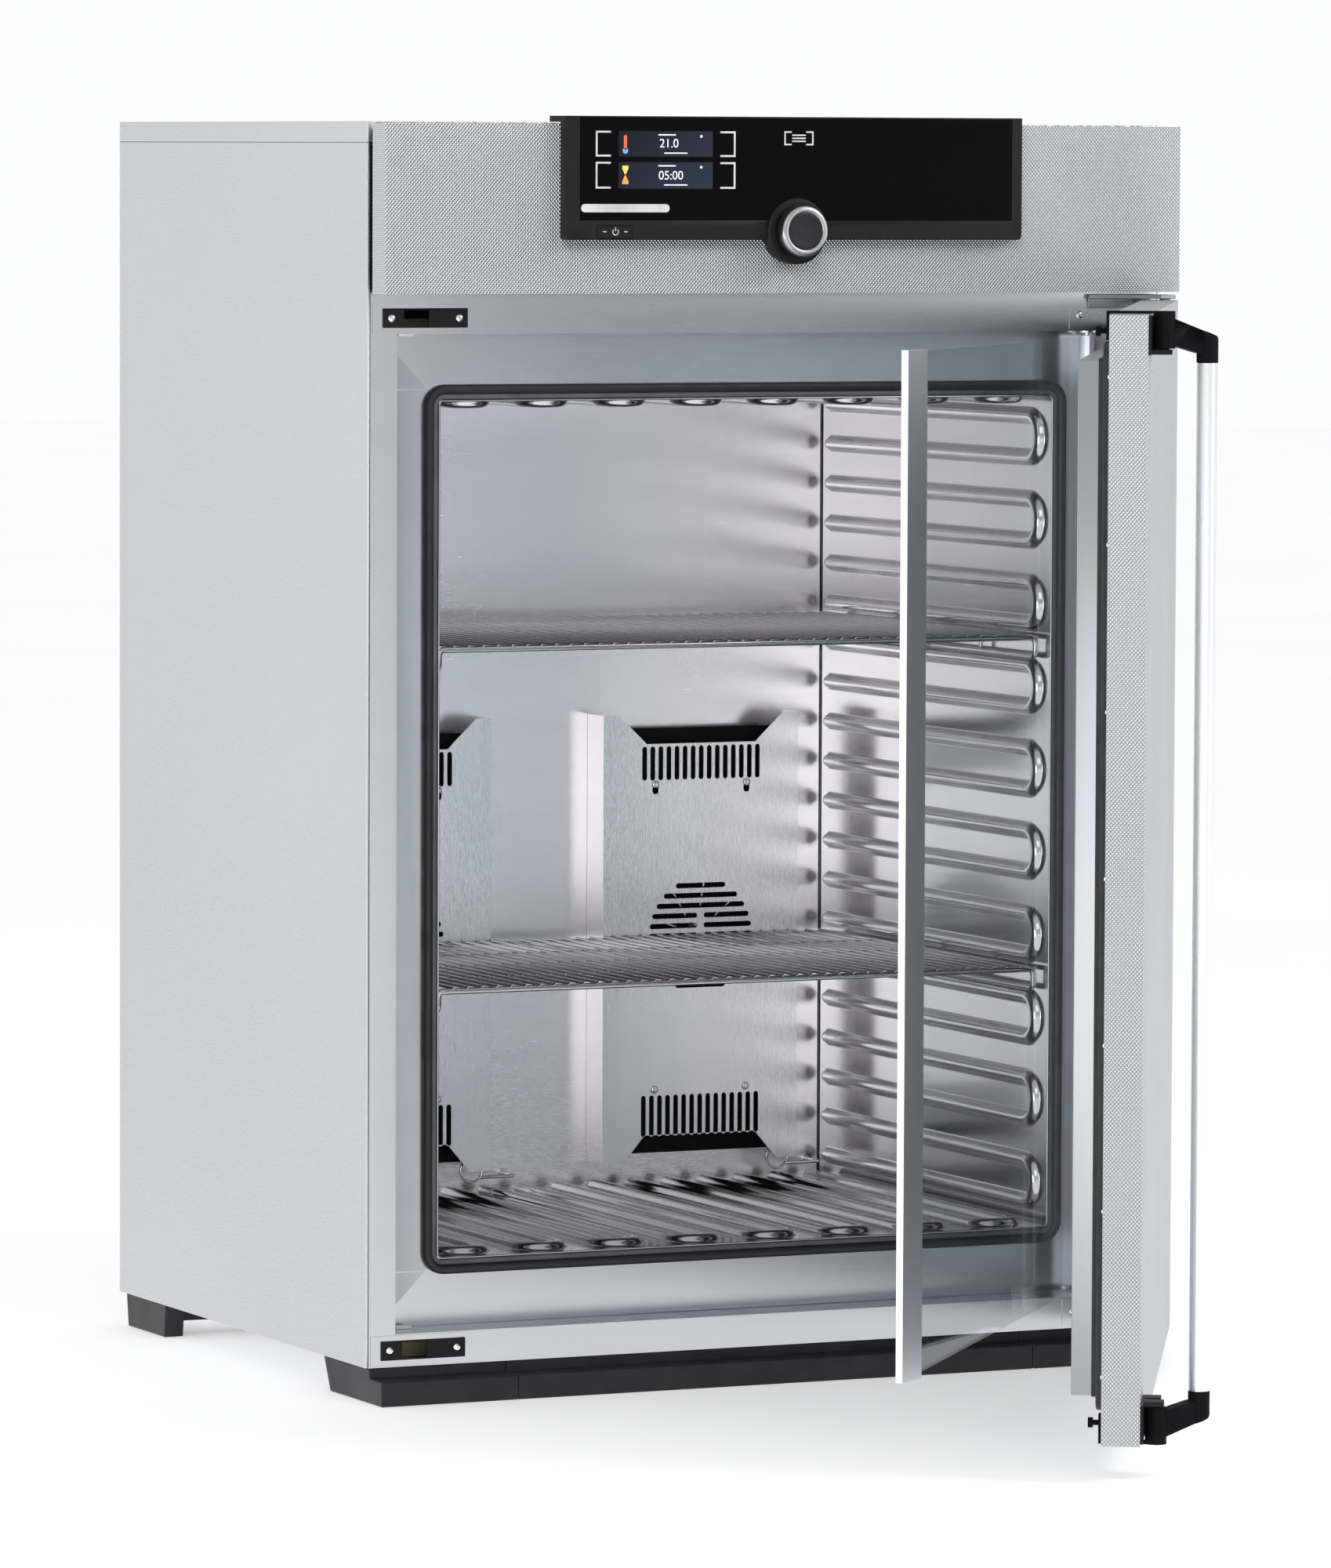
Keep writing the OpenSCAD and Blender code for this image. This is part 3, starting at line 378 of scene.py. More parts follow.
FINISHES = {
    "side": linen_steel("linen_steel", (0.635, 0.642, 0.665)),
    # The fascia's diamond steel is lighter than the door's: painted light, a lit copy of the same sheet.
    "fascia": diamond_steel("diamond_steel", (0.73, 0.75, 0.78)),
    "door": diamond_steel("diamond_steel_door", (0.62, 0.64, 0.67), OUTER_OPEN),
    "frame": brushed_steel("satin_steel", (0.54, 0.548, 0.575), (0.20, 0.25), "x"),
    # A darker copy of the frame's satin steel, painted shade on the door's block; the hinge brackets use it
    # too.
    "block": brushed_steel("satin_steel_door_shaded", (0.285, 0.295, 0.312), (0.22, 0.27), "z", OUTER_OPEN),
    # The chamber's one steel in three tones: the floor darker and the back much lighter than the walls, as
    # painted shade and painted light.
    "liner": brushed_steel("liner_steel", (0.59, 0.575, 0.59), (0.13, 0.17), "y"),
    "liner_floor": brushed_steel("liner_floor_steel_shaded", (0.47, 0.458, 0.47), (0.12, 0.16), "y"),
    "liner_back": brushed_steel("liner_back_steel_lit", (0.90, 0.88, 0.90), (0.24, 0.28), "x"),
    "cover": brushed_steel("cover_steel", (0.86, 0.85, 0.87), (0.26, 0.30), "z"),
    "rod": polished_metal("polished_rod", (0.46, 0.45, 0.465), (0.10, 0.18)),
    "chrome": polished_metal("polished_steel", (0.72, 0.72, 0.73)),
    "ring": brushed_steel("knob_ring_metal", (0.43, 0.43, 0.44), (0.24, 0.34), "x"),
    "bar": brushed_steel("handle_aluminium", (0.87, 0.88, 0.90), (0.18, 0.23), "z", OUTER_OPEN),
    "grip": brushed_steel("grip_aluminium", (0.86, 0.895, 0.94), (0.42, 0.48), "z", GLASS_OPEN),
    "plastic": grained_plastic("black_plastic", (0.009, 0.009, 0.010)),
    "arm": grained_plastic("handle_plastic", (0.007, 0.007, 0.008), (0.40, 0.5), shine=0.035),
    "plinth": grained_plastic("plinth_plastic", (0.023, 0.023, 0.026), (0.34, 0.46)),
    "cap": grained_plastic("knob_cap_plastic", (0.022, 0.022, 0.024), (0.4, 0.5)),
    "dark": grained_plastic("dark_inside", (0.008, 0.008, 0.009), (0.6, 0.7)),
    "gloss": glossy_black("black_glass"),
    "seal": silicone("grey_silicone", (0.010, 0.010, 0.013)),
    "seal_light": silicone("grey_silicone_rim", (0.085, 0.085, 0.095)),
    "glass": pane_glass("clear_glass"),
    "white": glowing("display_white", (0.78, 0.80, 0.84), 0.25),
    "print": grained_plastic("white_print", (0.62, 0.62, 0.63), (0.4, 0.5), 400.0, 0.00001),
    "red": glowing("display_red", (0.75, 0.10, 0.06), 0.3),
    "blue": glowing("display_blue", (0.12, 0.35, 0.72), 0.3),
    "yellow": glowing("display_yellow", (0.85, 0.55, 0.08), 0.35),
    "orange": glowing("display_orange", (0.85, 0.30, 0.05), 0.3),
    "screen": display_screen("display_screen"),
    "wool": wool("mineral_wool"),
    "foil": foil("heating_foil"),
    "board": circuit_board("circuit_board"),
    "motor": grained_plastic("motor_paint", (0.09, 0.09, 0.1), (0.4, 0.5), 300.0, 0.0001),
}


# ---------- mesh helpers ----------
def add_piece(name, mesh, body, material, stands_for=(), bevel=0.0, turn=None, sharp=35,
              segments=2):
    """Adds a mesh as a piece that rides on a body. The bevel is in millimetres, sharp is in degrees."""
    if turn is not None:
        mesh.transform(turn)
    mesh.materials.clear()
    mesh.materials.append(FINISHES[material])
    mesh.shade_smooth()
    mesh.set_sharp_from_angle(angle=math.radians(sharp))
    piece = bpy.data.objects.new(name, mesh)
    bpy.context.scene.collection.objects.link(piece)
    if bevel:
        mod = piece.modifiers.new("edges", "BEVEL")
        mod.width, mod.segments, mod.limit_method = bevel / 1000, segments, "ANGLE"
        mod.angle_limit, mod.harden_normals = math.radians(sharp), True
        mod.use_clamp_overlap = True
    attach(piece, body)
    if stands_for:
        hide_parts(*stands_for)


def mesh_of(bm, name):
    mesh = bpy.data.meshes.new(name)
    bm.to_mesh(mesh)
    bm.free()
    return mesh


def add_box(bm, x, y, z):
    """Box between two corners in the drawing position."""
    corners = [bm.verts.new(at(a, b, c)) for a in x for b in y for c in z]
    for ids in ((0, 1, 3, 2), (4, 6, 7, 5), (0, 4, 5, 1), (2, 3, 7, 6), (0, 2, 6, 4), (1, 5, 7, 3)):
        bm.faces.new([corners[i] for i in ids])


def add_rings(bm, rings, closed_ring=True, closed_path=False, caps=False):
    """Skins a list of rings, each a list of points in metres."""
    made = [[bm.verts.new(p) for p in ring] for ring in rings]
    count = len(made)
    size = len(made[0])
    for i in range(count if closed_path else count - 1):
        a, b = made[i], made[(i + 1) % count]
        for j in range(size if closed_ring else size - 1):
            k = (j + 1) % size
            bm.faces.new((a[j], a[k], b[k], b[j]))
    if caps:
        bm.faces.new(list(reversed(made[0])))
        bm.faces.new(made[-1])


def rounded_path(points, radius, steps=6):
    """Polyline with its corners rounded."""
    points = [Vector(p) for p in points]
    out = [points[0]]
    for before, here, after in zip(points, points[1:], points[2:]):
        a, b = (before - here).normalized(), (after - here).normalized()
        start, end = here + a * radius, here + b * radius
        for i in range(steps + 1):
            t = i / steps
            out.append(start * (1 - t) ** 2 + here * 2 * t * (1 - t) + end * t * t)
    return out + [points[-1]]


def add_tube(bm, points, radius, sides=12, tip=0.25):
    """Round rod along points in the drawing position, its ends slightly rounded."""
    pts = [at(*p) for p in points]
    first = (pts[1] - pts[0]).normalized()
    last = (pts[-1] - pts[-2]).normalized()
    r = radius / 1000
    rows = [(pts[0] - first * r * tip, 0.55 * r), (pts[0], r * 0.92), (pts[0] + first * r * 0.3, r)]
    rows += [(p, r) for p in pts[1:-1]]
    rows += [(pts[-1] - last * r * 0.3, r), (pts[-1], r * 0.92), (pts[-1] + last * r * tip, 0.55 * r)]
    side = first.orthogonal().normalized()
    rings = []
    for i, (p, size) in enumerate(rows):
        along = (rows[min(i + 1, len(rows) - 1)][0] - rows[max(i - 1, 0)][0]).normalized()
        side = (side - along * side.dot(along)).normalized()
        other = along.cross(side)
        rings.append([p + (side * math.cos(a) + other * math.sin(a)) * size
                      for a in (2 * math.pi * k / sides for k in range(sides))])
    add_rings(bm, rings, caps=True)


def add_lathe(bm, profile, centre, steps=64):
    """Turned shape about an axis along Y. profile: (radius, y) pairs from front to back."""
    x, z = centre
    rings = []
    for radius, y in profile:
        rings.append([at(x + radius * math.cos(a), y, z + radius * math.sin(a))
                      for a in (2 * math.pi * k / steps for k in range(steps))])
    add_rings(bm, rings, caps=True)


def rounded_rectangle(half_x, z, corner, steps=8):
    """Points around a rounded rectangle as (x, z, outward x, outward z)."""
    out = []
    for cx, cz, start in ((half_x - corner, z[1] - corner, 0), (corner - half_x, z[1] - corner, 90),
                          (corner - half_x, z[0] + corner, 180), (half_x - corner, z[0] + corner, 270)):
        for i in range(steps + 1):
            a = math.radians(start + 90 * i / steps)
            out.append((cx + corner * math.cos(a), cz + corner * math.sin(a), math.cos(a), math.sin(a)))
    return out


def add_band(bm, half_x, z, corner, profile):
    """Moulding around a rounded rectangle. profile: (outward offset, y) pairs."""
    rings = [[at(x + nx * off, y, zz + nz * off) for off, y in profile]
             for x, zz, nx, nz in rounded_rectangle(half_x, z, corner)]
    add_rings(bm, rings, closed_path=True)


def flat_sheet(name, outline, holes, y, thick):
    """Mesh of a sheet standing in the XZ plane, cut from an outline with holes. Millimetres."""
    data = bpy.data.curves.new(name, "CURVE")
    data.dimensions, data.fill_mode = "2D", "BOTH"
    for loop in [outline, *holes]:
        spline = data.splines.new("POLY")
        spline.points.add(len(loop) - 1)
        for point, (x, z) in zip(spline.points, loop):
            point.co = (x / 1000, z / 1000, 0, 1)
        spline.use_cyclic_u = True
    data.extrude = thick / 2000
    helper = bpy.data.objects.new(name, data)
    bpy.context.scene.collection.objects.link(helper)
    bpy.context.view_layer.update()
    mesh = bpy.data.meshes.new_from_object(helper)
    bpy.data.objects.remove(helper)
    bpy.data.curves.remove(data)
    stand = Matrix.Rotation(math.radians(90), 4, "X")
    mesh.transform(Matrix.Translation((0, (y + thick / 2 - MID_Y) / 1000, 0)) @ stand)
    mesh.name = name
    return mesh


def slot_loop(x, z, half_w, half_h, steps=6):
    """Outline of a slot with round ends, or of a circle where both halves are equal."""
    r = min(half_w, half_h)
    out = []
    for cx, cz, start in ((half_w - r, half_h - r, 0), (r - half_w, half_h - r, 90),
                          (r - half_w, r - half_h, 180), (half_w - r, r - half_h, 270)):
        for i in range(steps + 1):
            a = math.radians(start + 90 * i / steps)
            out.append((x + cx + r * math.cos(a), z + cz + r * math.sin(a)))
    return out


def box_loop(x, z, corner=0.01, steps=4):
    """Outline of a rectangle with rounded corners."""
    return [(p[0] + (x[0] + x[1]) / 2, p[1])
            for p in rounded_rectangle((x[1] - x[0]) / 2, z, corner, steps)]


def refine(node, material, bevel=0.4, sharp=30, segments=2, whole_faces=True):
    """The CAD node's own shape as a finished piece, with its edges broken.

    Flat faces are first made whole from their triangles, unless whole_faces is off.
    """
    source = frame["nodes"][node]
    bm = bmesh.new()
    bm.from_mesh(source.data)
    bmesh.ops.remove_doubles(bm, verts=bm.verts, dist=2e-6)
    if whole_faces:
        bmesh.ops.dissolve_limit(bm, angle_limit=math.radians(0.4), verts=bm.verts, edges=bm.edges)
    mesh = mesh_of(bm, node + "_finished")
    add_piece(node + "_finished", mesh, source["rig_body"], material, (node,), bevel=bevel, sharp=sharp,
              segments=segments)


# ---------- cabinet ----------
def make_cabinet():
    for node in ("casing_left", "casing_right", "casing_lid", "casing_rear"):
        refine(node, "side", 0.9)
    refine("front_fascia", "fascia", 1.0)
    make_front_frame()
    refine("door_recess", "frame", 0.5)
    refine("corner_plates", "frame", 0.25)
    refine("strike_plates", "plastic", 0.4)
    refine("fascia_spacer", "dark", 0.3)
    refine("hinge_brackets", "block", 0.6)
    refine("glass_pins", "chrome", 0.3)
    refine("glass_catches", "chrome", 0.5)
    refine("power_inlet", "plastic", 0.8)
    refine("exhaust_port", "frame", 0.5)
    refine("exhaust_flap", "chrome", 0.3)
    for node in ("base_frame", "feet_front", "feet_rear"):
        refine(node, "plinth", 1.4, segments=3)


def make_front_frame():
    """The strips of the front frame as the one smooth sheet that they look like."""
    def rectangle(x, z):
        return [(x[0], z[0]), (x[0], z[1]), (x[1], z[1]), (x[1], z[0])]

    outline = [(-FRAME_X, FRAME_Z[0]), (FRAME_X, FRAME_Z[0]), (FRAME_X, FRAME_Z[1]), (-FRAME_X, FRAME_Z[1])]
    half_w, half_h = LATCH_HOLE
    holes = [rectangle((-RECESS_X, RECESS_X), RECESS_Z),
             rectangle((-PANEL_HOLE_X, PANEL_HOLE_X), PANEL_HOLE_Z)]
    holes += [rectangle((STRIKE_X - half_w, STRIKE_X + half_w), (z - half_h, z + half_h)) for z in STRIKE_Z]
    sheet = flat_sheet("front_sheet", outline, holes, FRAME_Y, FRAME_T)
    add_piece("front_sheet", sheet, "cabinet", "frame", ("front_frame",), bevel=0.5, sharp=40)


def make_recess_seams():
    """Thin level laps in the back of the recess, to both sides of the chamber's mouth."""
    bm = bmesh.new()
    mouth_x = 336.5
    for z in (CHAMBER_Z[1] + 11, CHAMBER_Z[0] - 12):
        for s in (-1, 1):
            x = sorted((s * mouth_x, s * (RECESS_X - 0.2)))
            add_box(bm, x, (RECESS_Y - 0.5, RECESS_Y), (z - 0.6, z + 0.6))
    add_piece("recess_laps", mesh_of(bm, "recess_laps"), "cabinet", "frame")


def make_screws():
    """Dished pan heads on the strike plates and the corner plates."""
    bm = bmesh.new()
    heads = [(STRIKE_X + s * 34, FRAME_Y - 2.2, z) for z in STRIKE_Z for s in (-1, 1)]
    heads += [(SCREW_X, FRAME_Y - 0.8, z) for z in STRIKE_Z]
    for x, y, z in heads:
        add_lathe(bm, [(1.2, y - 0.55), (1.25, y - 1.25), (2.4, y - 1.2), (3.3, y - 0.8), (3.7, y - 0.15),
                       (3.7, y)], (x, z), 28)
    add_piece("corner_screw_heads", mesh_of(bm, "corner_screw_heads"), "cabinet", "chrome",
              ("corner_screws",), sharp=50)


def bead_section(radius):
    """Half round bead with a fillet at each foot, as (sideways, height)."""
    arc = [(radius * math.cos(math.radians(a)), radius * math.sin(math.radians(a)))
           for a in range(160, 19, -14)]
    foot = [(-radius - 2.4, -0.06), (-radius - 1.3, 0.15), (-radius - 0.45, 0.8)]
    return foot + arc + [(-x, h) for x, h in reversed(foot)]


def bead_stations():
    """Stations along a U-shaped bead: its two legs and the bend at the front, which swells a little.

    Each is (along, across, outward along, outward across, size).
    """
    half = RIB_PITCH / 2
    bend = LOOP_FRONT_Y + half
    tip_length = 9.0
    tip = [(t * tip_length, math.sqrt(1 - (1 - t) ** 2)) for t in (0.0, 0.06, 0.2, 0.45, 0.75, 1.0)]
    straight = (LEG_END_Y - 120, LEG_END_Y - 300, bend + 40, bend + 12)
    legs = {}
    for s in (-1, 1):
        legs[s] = [(LEG_END_Y - d, s * half, 0.0, s, size) for d, size in tip]
        legs[s] += [(y, s * half, 0.0, s, 1.0) for y in straight]
    turn = []
    for i in range(19):
        a = math.radians(180 * i / 18)
        turn.append((bend - half * math.sin(a), -half * math.cos(a), -math.sin(a), -math.cos(a),
                     1.0 + 0.16 * math.sin(a)))
    return legs[-1] + turn + list(reversed(legs[1]))


def add_bead_loop(bm, middle, place):
    """U-shaped bead around a middle line. place turns (along, across, height) into a point."""
    section = bead_section(BEAD_R)
    rings = []
    for along, across, out_a, out_c, size in bead_stations():
        wide = max(size, 0.02)
        high = size if size < 1 else 1 + (size - 1) * 0.6
        rings.append([place(along + out_a * w * wide, middle + across + out_c * w * wide, h * high)
                      for w, h in section])
    add_rings(bm, rings, closed_ring=False)


def make_liner():
    """Walls of the chamber with their pressed beads, the seams in its corners and the lip of its mouth."""
    mid_z = sum(CHAMBER_Z) / 2
    front = RECESS_Y - 3.5
    side_loops, level_loops = 10, 8
    walls = {
        "liner_left": ((-CHAMBER_X - 1, -CHAMBER_X), CHAMBER_Z, side_loops, mid_z,
                       lambda y, c, h: at(h - CHAMBER_X, y, c)),
        "liner_right": ((CHAMBER_X, CHAMBER_X + 1), CHAMBER_Z, side_loops, mid_z,
                        lambda y, c, h: at(CHAMBER_X - h, y, c)),
        "liner_floor": ((-CHAMBER_X, CHAMBER_X), (CHAMBER_Z[0] - 1, CHAMBER_Z[0]), level_loops, 0.0,
                        lambda y, c, h: at(c, y, CHAMBER_Z[0] + h)),
        "liner_ceiling": ((-CHAMBER_X, CHAMBER_X), (CHAMBER_Z[1], CHAMBER_Z[1] + 1), level_loops, 0.0,
                          lambda y, c, h: at(c, y, CHAMBER_Z[1] - h)),
    }
    for node, (x, z, count, middle, place) in walls.items():
        bm = bmesh.new()
        add_box(bm, x, (front, BACK_Y), z)
        for i in range(count):
            add_bead_loop(bm, middle + (i - (count - 1) / 2) * 2 * RIB_PITCH, place)
        bmesh.ops.recalc_face_normals(bm, faces=bm.faces)
        finish = "liner_floor" if node == "liner_floor" else "liner"
        add_piece(node + "_pressed", mesh_of(bm, node), "cabinet", finish, (node,), sharp=42)
    refine("liner_back", "liner_back", 0.2)
    bm = bmesh.new()
    for s in (-1, 1):
        x = sorted((s * (CHAMBER_X - 0.3), s * (CHAMBER_X - 1.5)))
        add_box(bm, x, (BACK_Y - 0.5, BACK_Y), CHAMBER_Z)
    add_piece("liner_corner_seams", mesh_of(bm, "liner_corner_seams"), "cabinet", "dark")
    bm = bmesh.new()
    add_band(bm, CHAMBER_X + 0.6, (CHAMBER_Z[0] - 0.6, CHAMBER_Z[1] + 0.6), 5,
             [(0.9 * math.cos(a), front + 0.3 + 0.9 * math.sin(a))
              for a in (math.pi * k / 6 for k in range(12))])
    add_piece("liner_lip", mesh_of(bm, "liner_lip"), "cabinet", "rod")


def make_gasket():
    """Rounded band around the chamber's mouth, with a lower and lighter rim inside it."""
    base = RECESS_Y - 0.2
    crown = [(-4, 83.4), (-3.2, 81.6), (-1.6, 80.9), (1.4, 80.9), (3.1, 81.7), (4, 83.6)]
    bm = bmesh.new()
    add_band(bm, CHAMBER_X + 11, (CHAMBER_Z[0] - 11.5, CHAMBER_Z[1] + 11.5), 17,
             [(-4, base), *crown, (4, base)])
    add_piece("gasket_band", mesh_of(bm, "gasket_band"), "cabinet", "seal", ("chamber_gasket",), sharp=50)
    crown = [(-3.0, 85.4), (-2.2, 84.4), (-0.6, 84.0), (1.2, 84.2), (2.4, 85.2)]
    bm = bmesh.new()
    add_band(bm, CHAMBER_X + 4.5, (CHAMBER_Z[0] - 4.8, CHAMBER_Z[1] + 4.8), 9,
             [(-3.0, base), *crown, (2.5, base)])
    add_piece("gasket_rim", mesh_of(bm, "gasket_rim"), "cabinet", "seal_light", sharp=50)


# ---------- shelves ----------
def make_shelf(node, body, leg_z):
    """Wire shelf on the ribs: a bent rod at each end, rods along the sides and across, and thin wires."""
    rod_r, side_r, post_r, cross_r, wire_r = 3.0, 2.5, 2.0, 2.2, 1.6
    bead_top, gap, rise, wires, wire_end, wire_lift = 6.5, 0.4, 18, 41, 1.6, 3.1
    low = leg_z + bead_top + rod_r + gap
    top = low + rise
    x = SHELF_X - rod_r
    front, rear = SHELF_Y[0] + rod_r, SHELF_Y[1] - rod_r
    bm = bmesh.new()
    for y in (front, rear):
        bend = [(-x, (front + rear) / 2, low), (-x, y, low), (-x, y, top), (x, y, top), (x, y, low),
                (x, (front + rear) / 2, low)]
        add_tube(bm, rounded_path(bend, 6.5), rod_r, 14)
    for s in (-1, 1):
        add_tube(bm, [(s * (x - 0.3), front, top), (s * (x - 0.3), rear, top)], side_r, 12)
        for i in (1, 2, 3):
            y = front + i * (rear - front) / 4 + 6
            add_tube(bm, [(s * x, y, low), (s * x, y, top)], post_r, 10)
    for i in (1, 2, 3):
        y = front + i * (rear - front) / 4
        add_tube(bm, [(-x, y, top - 0.4), (x, y, top - 0.4)], cross_r, 12)
    z = top + wire_lift
    for i in range(1, wires + 1):
        wx = (i - (wires + 1) / 2) * 2 * x / (wires + 1)
        add_tube(bm, [(wx, front - wire_end, z), (wx, rear + wire_end, z)], wire_r, 10, 0.6)
    add_piece(node + "_wires", mesh_of(bm, node), body, "rod", (node,), sharp=40)


# ---------- fan covers ----------
def cover_loops(x):
    """Outline and holes of a cover's face: slots and a notch at each end, a grille between."""
    z0, z1 = COVER_Z
    foot_notch, head_notch = z0 + 28, z1 - 29.5
    outline = [(x - COVER_HALF, z0), (x - 85, z0), (x - 61, foot_notch), (x + 61, foot_notch), (x + 85, z0),
               (x + COVER_HALF, z0), (x + COVER_HALF, z1), (x + 91, z1), (x + 60, head_notch),
               (x - 60, head_notch), (x - 91, z1), (x - COVER_HALF, z1)]
    slots, slot_pitch, slot_half = 15, 8.9, 2.6
    holes = []
    for i in range(slots):
        sx = x + (i - slots // 2) * slot_pitch
        holes += [slot_loop(sx, 550, slot_half, 17), slot_loop(sx, 196.2, slot_half, 20.7)]
    holes += grille_loops(x, slot_half)
    for s in (-1, 1):
        holes.append(slot_loop(x + s * COVER_SCREW_X, 523.5, 3.4, 4.5))
    return outline, holes


def grille_loops(x, slot_half):
    """Level slots in front of a fan. The five in the middle leave an upright bar free."""
    grille_r, row_pitch, bar_half = 57, 10, 3.5
    holes = []
    for row in range(-5, 6):
        dz = row * row_pitch
        half = math.sqrt(grille_r ** 2 - dz ** 2)
        if abs(row) <= 2:
            for s in (-1, 1):
                holes.append(slot_loop(x + s * (half + bar_half) / 2, FAN_Z + dz, (half - bar_half) / 2,
                                       slot_half))
        else:
            holes.append(slot_loop(x, FAN_Z + dz, half, slot_half))
    return holes


def make_fan_cover(node, x):
    """Slotted face, a flange down each side and a dark sheet behind the slots, painted shade of the hollow
    behind the cover.
    """
    shade_sheet_half = 92
    outline, holes = cover_loops(x)
    face = flat_sheet(node, outline, holes, COVER_Y, 1.0)
    add_piece(node + "_sheet", face, "cabinet", "cover", (node,), bevel=0.3, sharp=40)
    bm = bmesh.new()
    z0, z1 = COVER_Z
    for s in (-1, 1):
        edge = sorted((x + s * COVER_HALF, x + s * (COVER_HALF - 1)))
        add_box(bm, edge, (COVER_Y + 0.3, BACK_Y - 0.2), (z0, z1))
    add_piece(node + "_flanges", mesh_of(bm, node + "_flanges"), "cabinet", "liner", bevel=0.3)
    # Dark sheet behind the slots: painted shade.
    bm = bmesh.new()
    add_box(bm, (x - shade_sheet_half, x + shade_sheet_half), (COVER_Y + 20, COVER_Y + 21), (z0 + 8, z1 - 15))
    add_piece(node + "_painted_shade_sheet", mesh_of(bm, node + "_painted_shade_sheet"), "cabinet", "dark", bevel=0.3)


def make_cover_screws():
    bm = bmesh.new()
    for x in (-FAN_X, FAN_X):
        for s in (-1, 1):
            for z in COVER_SCREW_Z:
                add_lathe(bm, [(1.3, COVER_Y - 0.6), (1.35, COVER_Y - 1.6), (2.8, COVER_Y - 1.5),
                               (3.8, COVER_Y - 0.9), (4, COVER_Y - 0.1), (4, COVER_Y)],
                          (x + s * COVER_SCREW_X, z), 24)
    add_piece("cover_screw_heads", mesh_of(bm, "cover_screw_heads"), "cabinet", "chrome", ("cover_screws",),
              sharp=50)


# ---------- control panel ----------
def add_flat(name, loops, material, front=PANEL_FRONT, thick=0.12, body="cabinet"):
    """Thin print or lit area on the panel's glass, as one piece made of several outlines."""
    bm = bmesh.new()
    for outline, holes in loops:
        bm.from_mesh(flat_sheet(name, outline, holes, front - thick, thick))
    add_piece(name, mesh_of(bm, name), body, material)


def bracket_loop(x, z, arm, thick, mirrored=False):
    """Square bracket outline between two heights. It opens to the right, or to the left if mirrored."""
    back, way = (x[1], -1) if mirrored else (x[0], 1)
    inner, tip = back + way * thick, back + way * arm
    points = [(back, z[0]), (back, z[1]), (tip, z[1]), (tip, z[1] - thick), (inner, z[1] - thick),
              (inner, z[0] + thick), (tip, z[0] + thick), (tip, z[0])]
    return points, []


def add_number(name, words, x, z, size):
    """Digits on a display, turned to a mesh that stands on the glass."""
    data = bpy.data.curves.new(name, "FONT")
    data.body, data.size, data.align_x = words, size / 1000, "CENTER"
    data.extrude = 0.00006
    helper = bpy.data.objects.new(name, data)
    bpy.context.scene.collection.objects.link(helper)
    bpy.context.view_layer.update()
    mesh = bpy.data.meshes.new_from_object(helper)
    bpy.data.objects.remove(helper)
    bpy.data.curves.remove(data)
    upright = Matrix.Rotation(math.radians(90), 4, "X")
    mesh.transform(Matrix.Translation(at(x, PANEL_FRONT - 0.2, z)) @ upright)
    mesh.name = name
    add_piece(name, mesh, "cabinet", "white")


def make_displays():
    """Two lit screens between touch brackets, a third touch mark with three bars, and a light stripe."""
    upper, lower = (1154.6, 1178.3), (1125.1, 1149.7)
    x = (-182.4, -86.2)
    lit = PANEL_FRONT - 0.12
    add_flat("display_screens", [(box_loop(x, z, 0.8), []) for z in (upper, lower)], "screen")
    brackets = []
    for z in (upper, lower):
        brackets += [bracket_loop((-205.5, -190.3), z, 15.2, 1.7),
                     bracket_loop((-78.3, -62.8), z, 15.5, 1.7, True)]
    menu = (1165.7, 1178.7)
    brackets += [bracket_loop((-12.4, -4), menu, 7.5, 1.4), bracket_loop((9, 17.7), menu, 7.5, 1.4, True)]
    brackets += [(box_loop((-4.5, 9.8), (z, z + 1.3), 0.6), []) for z in (1168.8, 1171.6, 1174.4)]
    add_flat("touch_brackets", brackets, "print")
    add_flat("status_stripe", [(box_loop((-220.3, -130.1), (1103.2, 1110.8), 3.7), [])], "print")
    add_number("upper_reading", "21.0", -131, 1163.2, 11.5)
    add_number("lower_reading", "05:00", -129, 1133.6, 11.5)
    thermometer = [(slot_loop(-175.5, 1167.5, 1.6, 7.0), []), (slot_loop(-175.5, 1160.0, 2.8, 2.8), [])]
    add_flat("thermometer_red", thermometer[:1], "red", lit)
    add_flat("thermometer_blue", thermometer[1:], "blue", lit)
    hourglass_top = [(-178.6, 1146.2), (-172.4, 1146.2), (-172.4, 1143.6),
                     (-175.0, 1138.2), (-176.0, 1138.2), (-178.6, 1143.6)]
    hourglass_low = [(-176.0, 1137.4), (-175.0, 1137.4), (-172.4, 1131.8),
                     (-172.4, 1129.2), (-178.6, 1129.2), (-178.6, 1131.8)]
    add_flat("timer_yellow", [(hourglass_top, [])], "yellow", lit)
    add_flat("timer_orange", [(hourglass_low, [])], "orange", lit)
    lines = [(box_loop((-142, -124), (z, z + 1.2), 0.5), []) for z in (1174.2, 1145.6)]
    lines += [(box_loop((-136, -112), (z, z + 1.1), 0.5), []) for z in (1157.4, 1128.0)]
    lines += [(slot_loop(-98, z, 1.3, 1.3), []) for z in (1173.5, 1145.0)]
    add_flat("display_lines", lines, "white", lit)


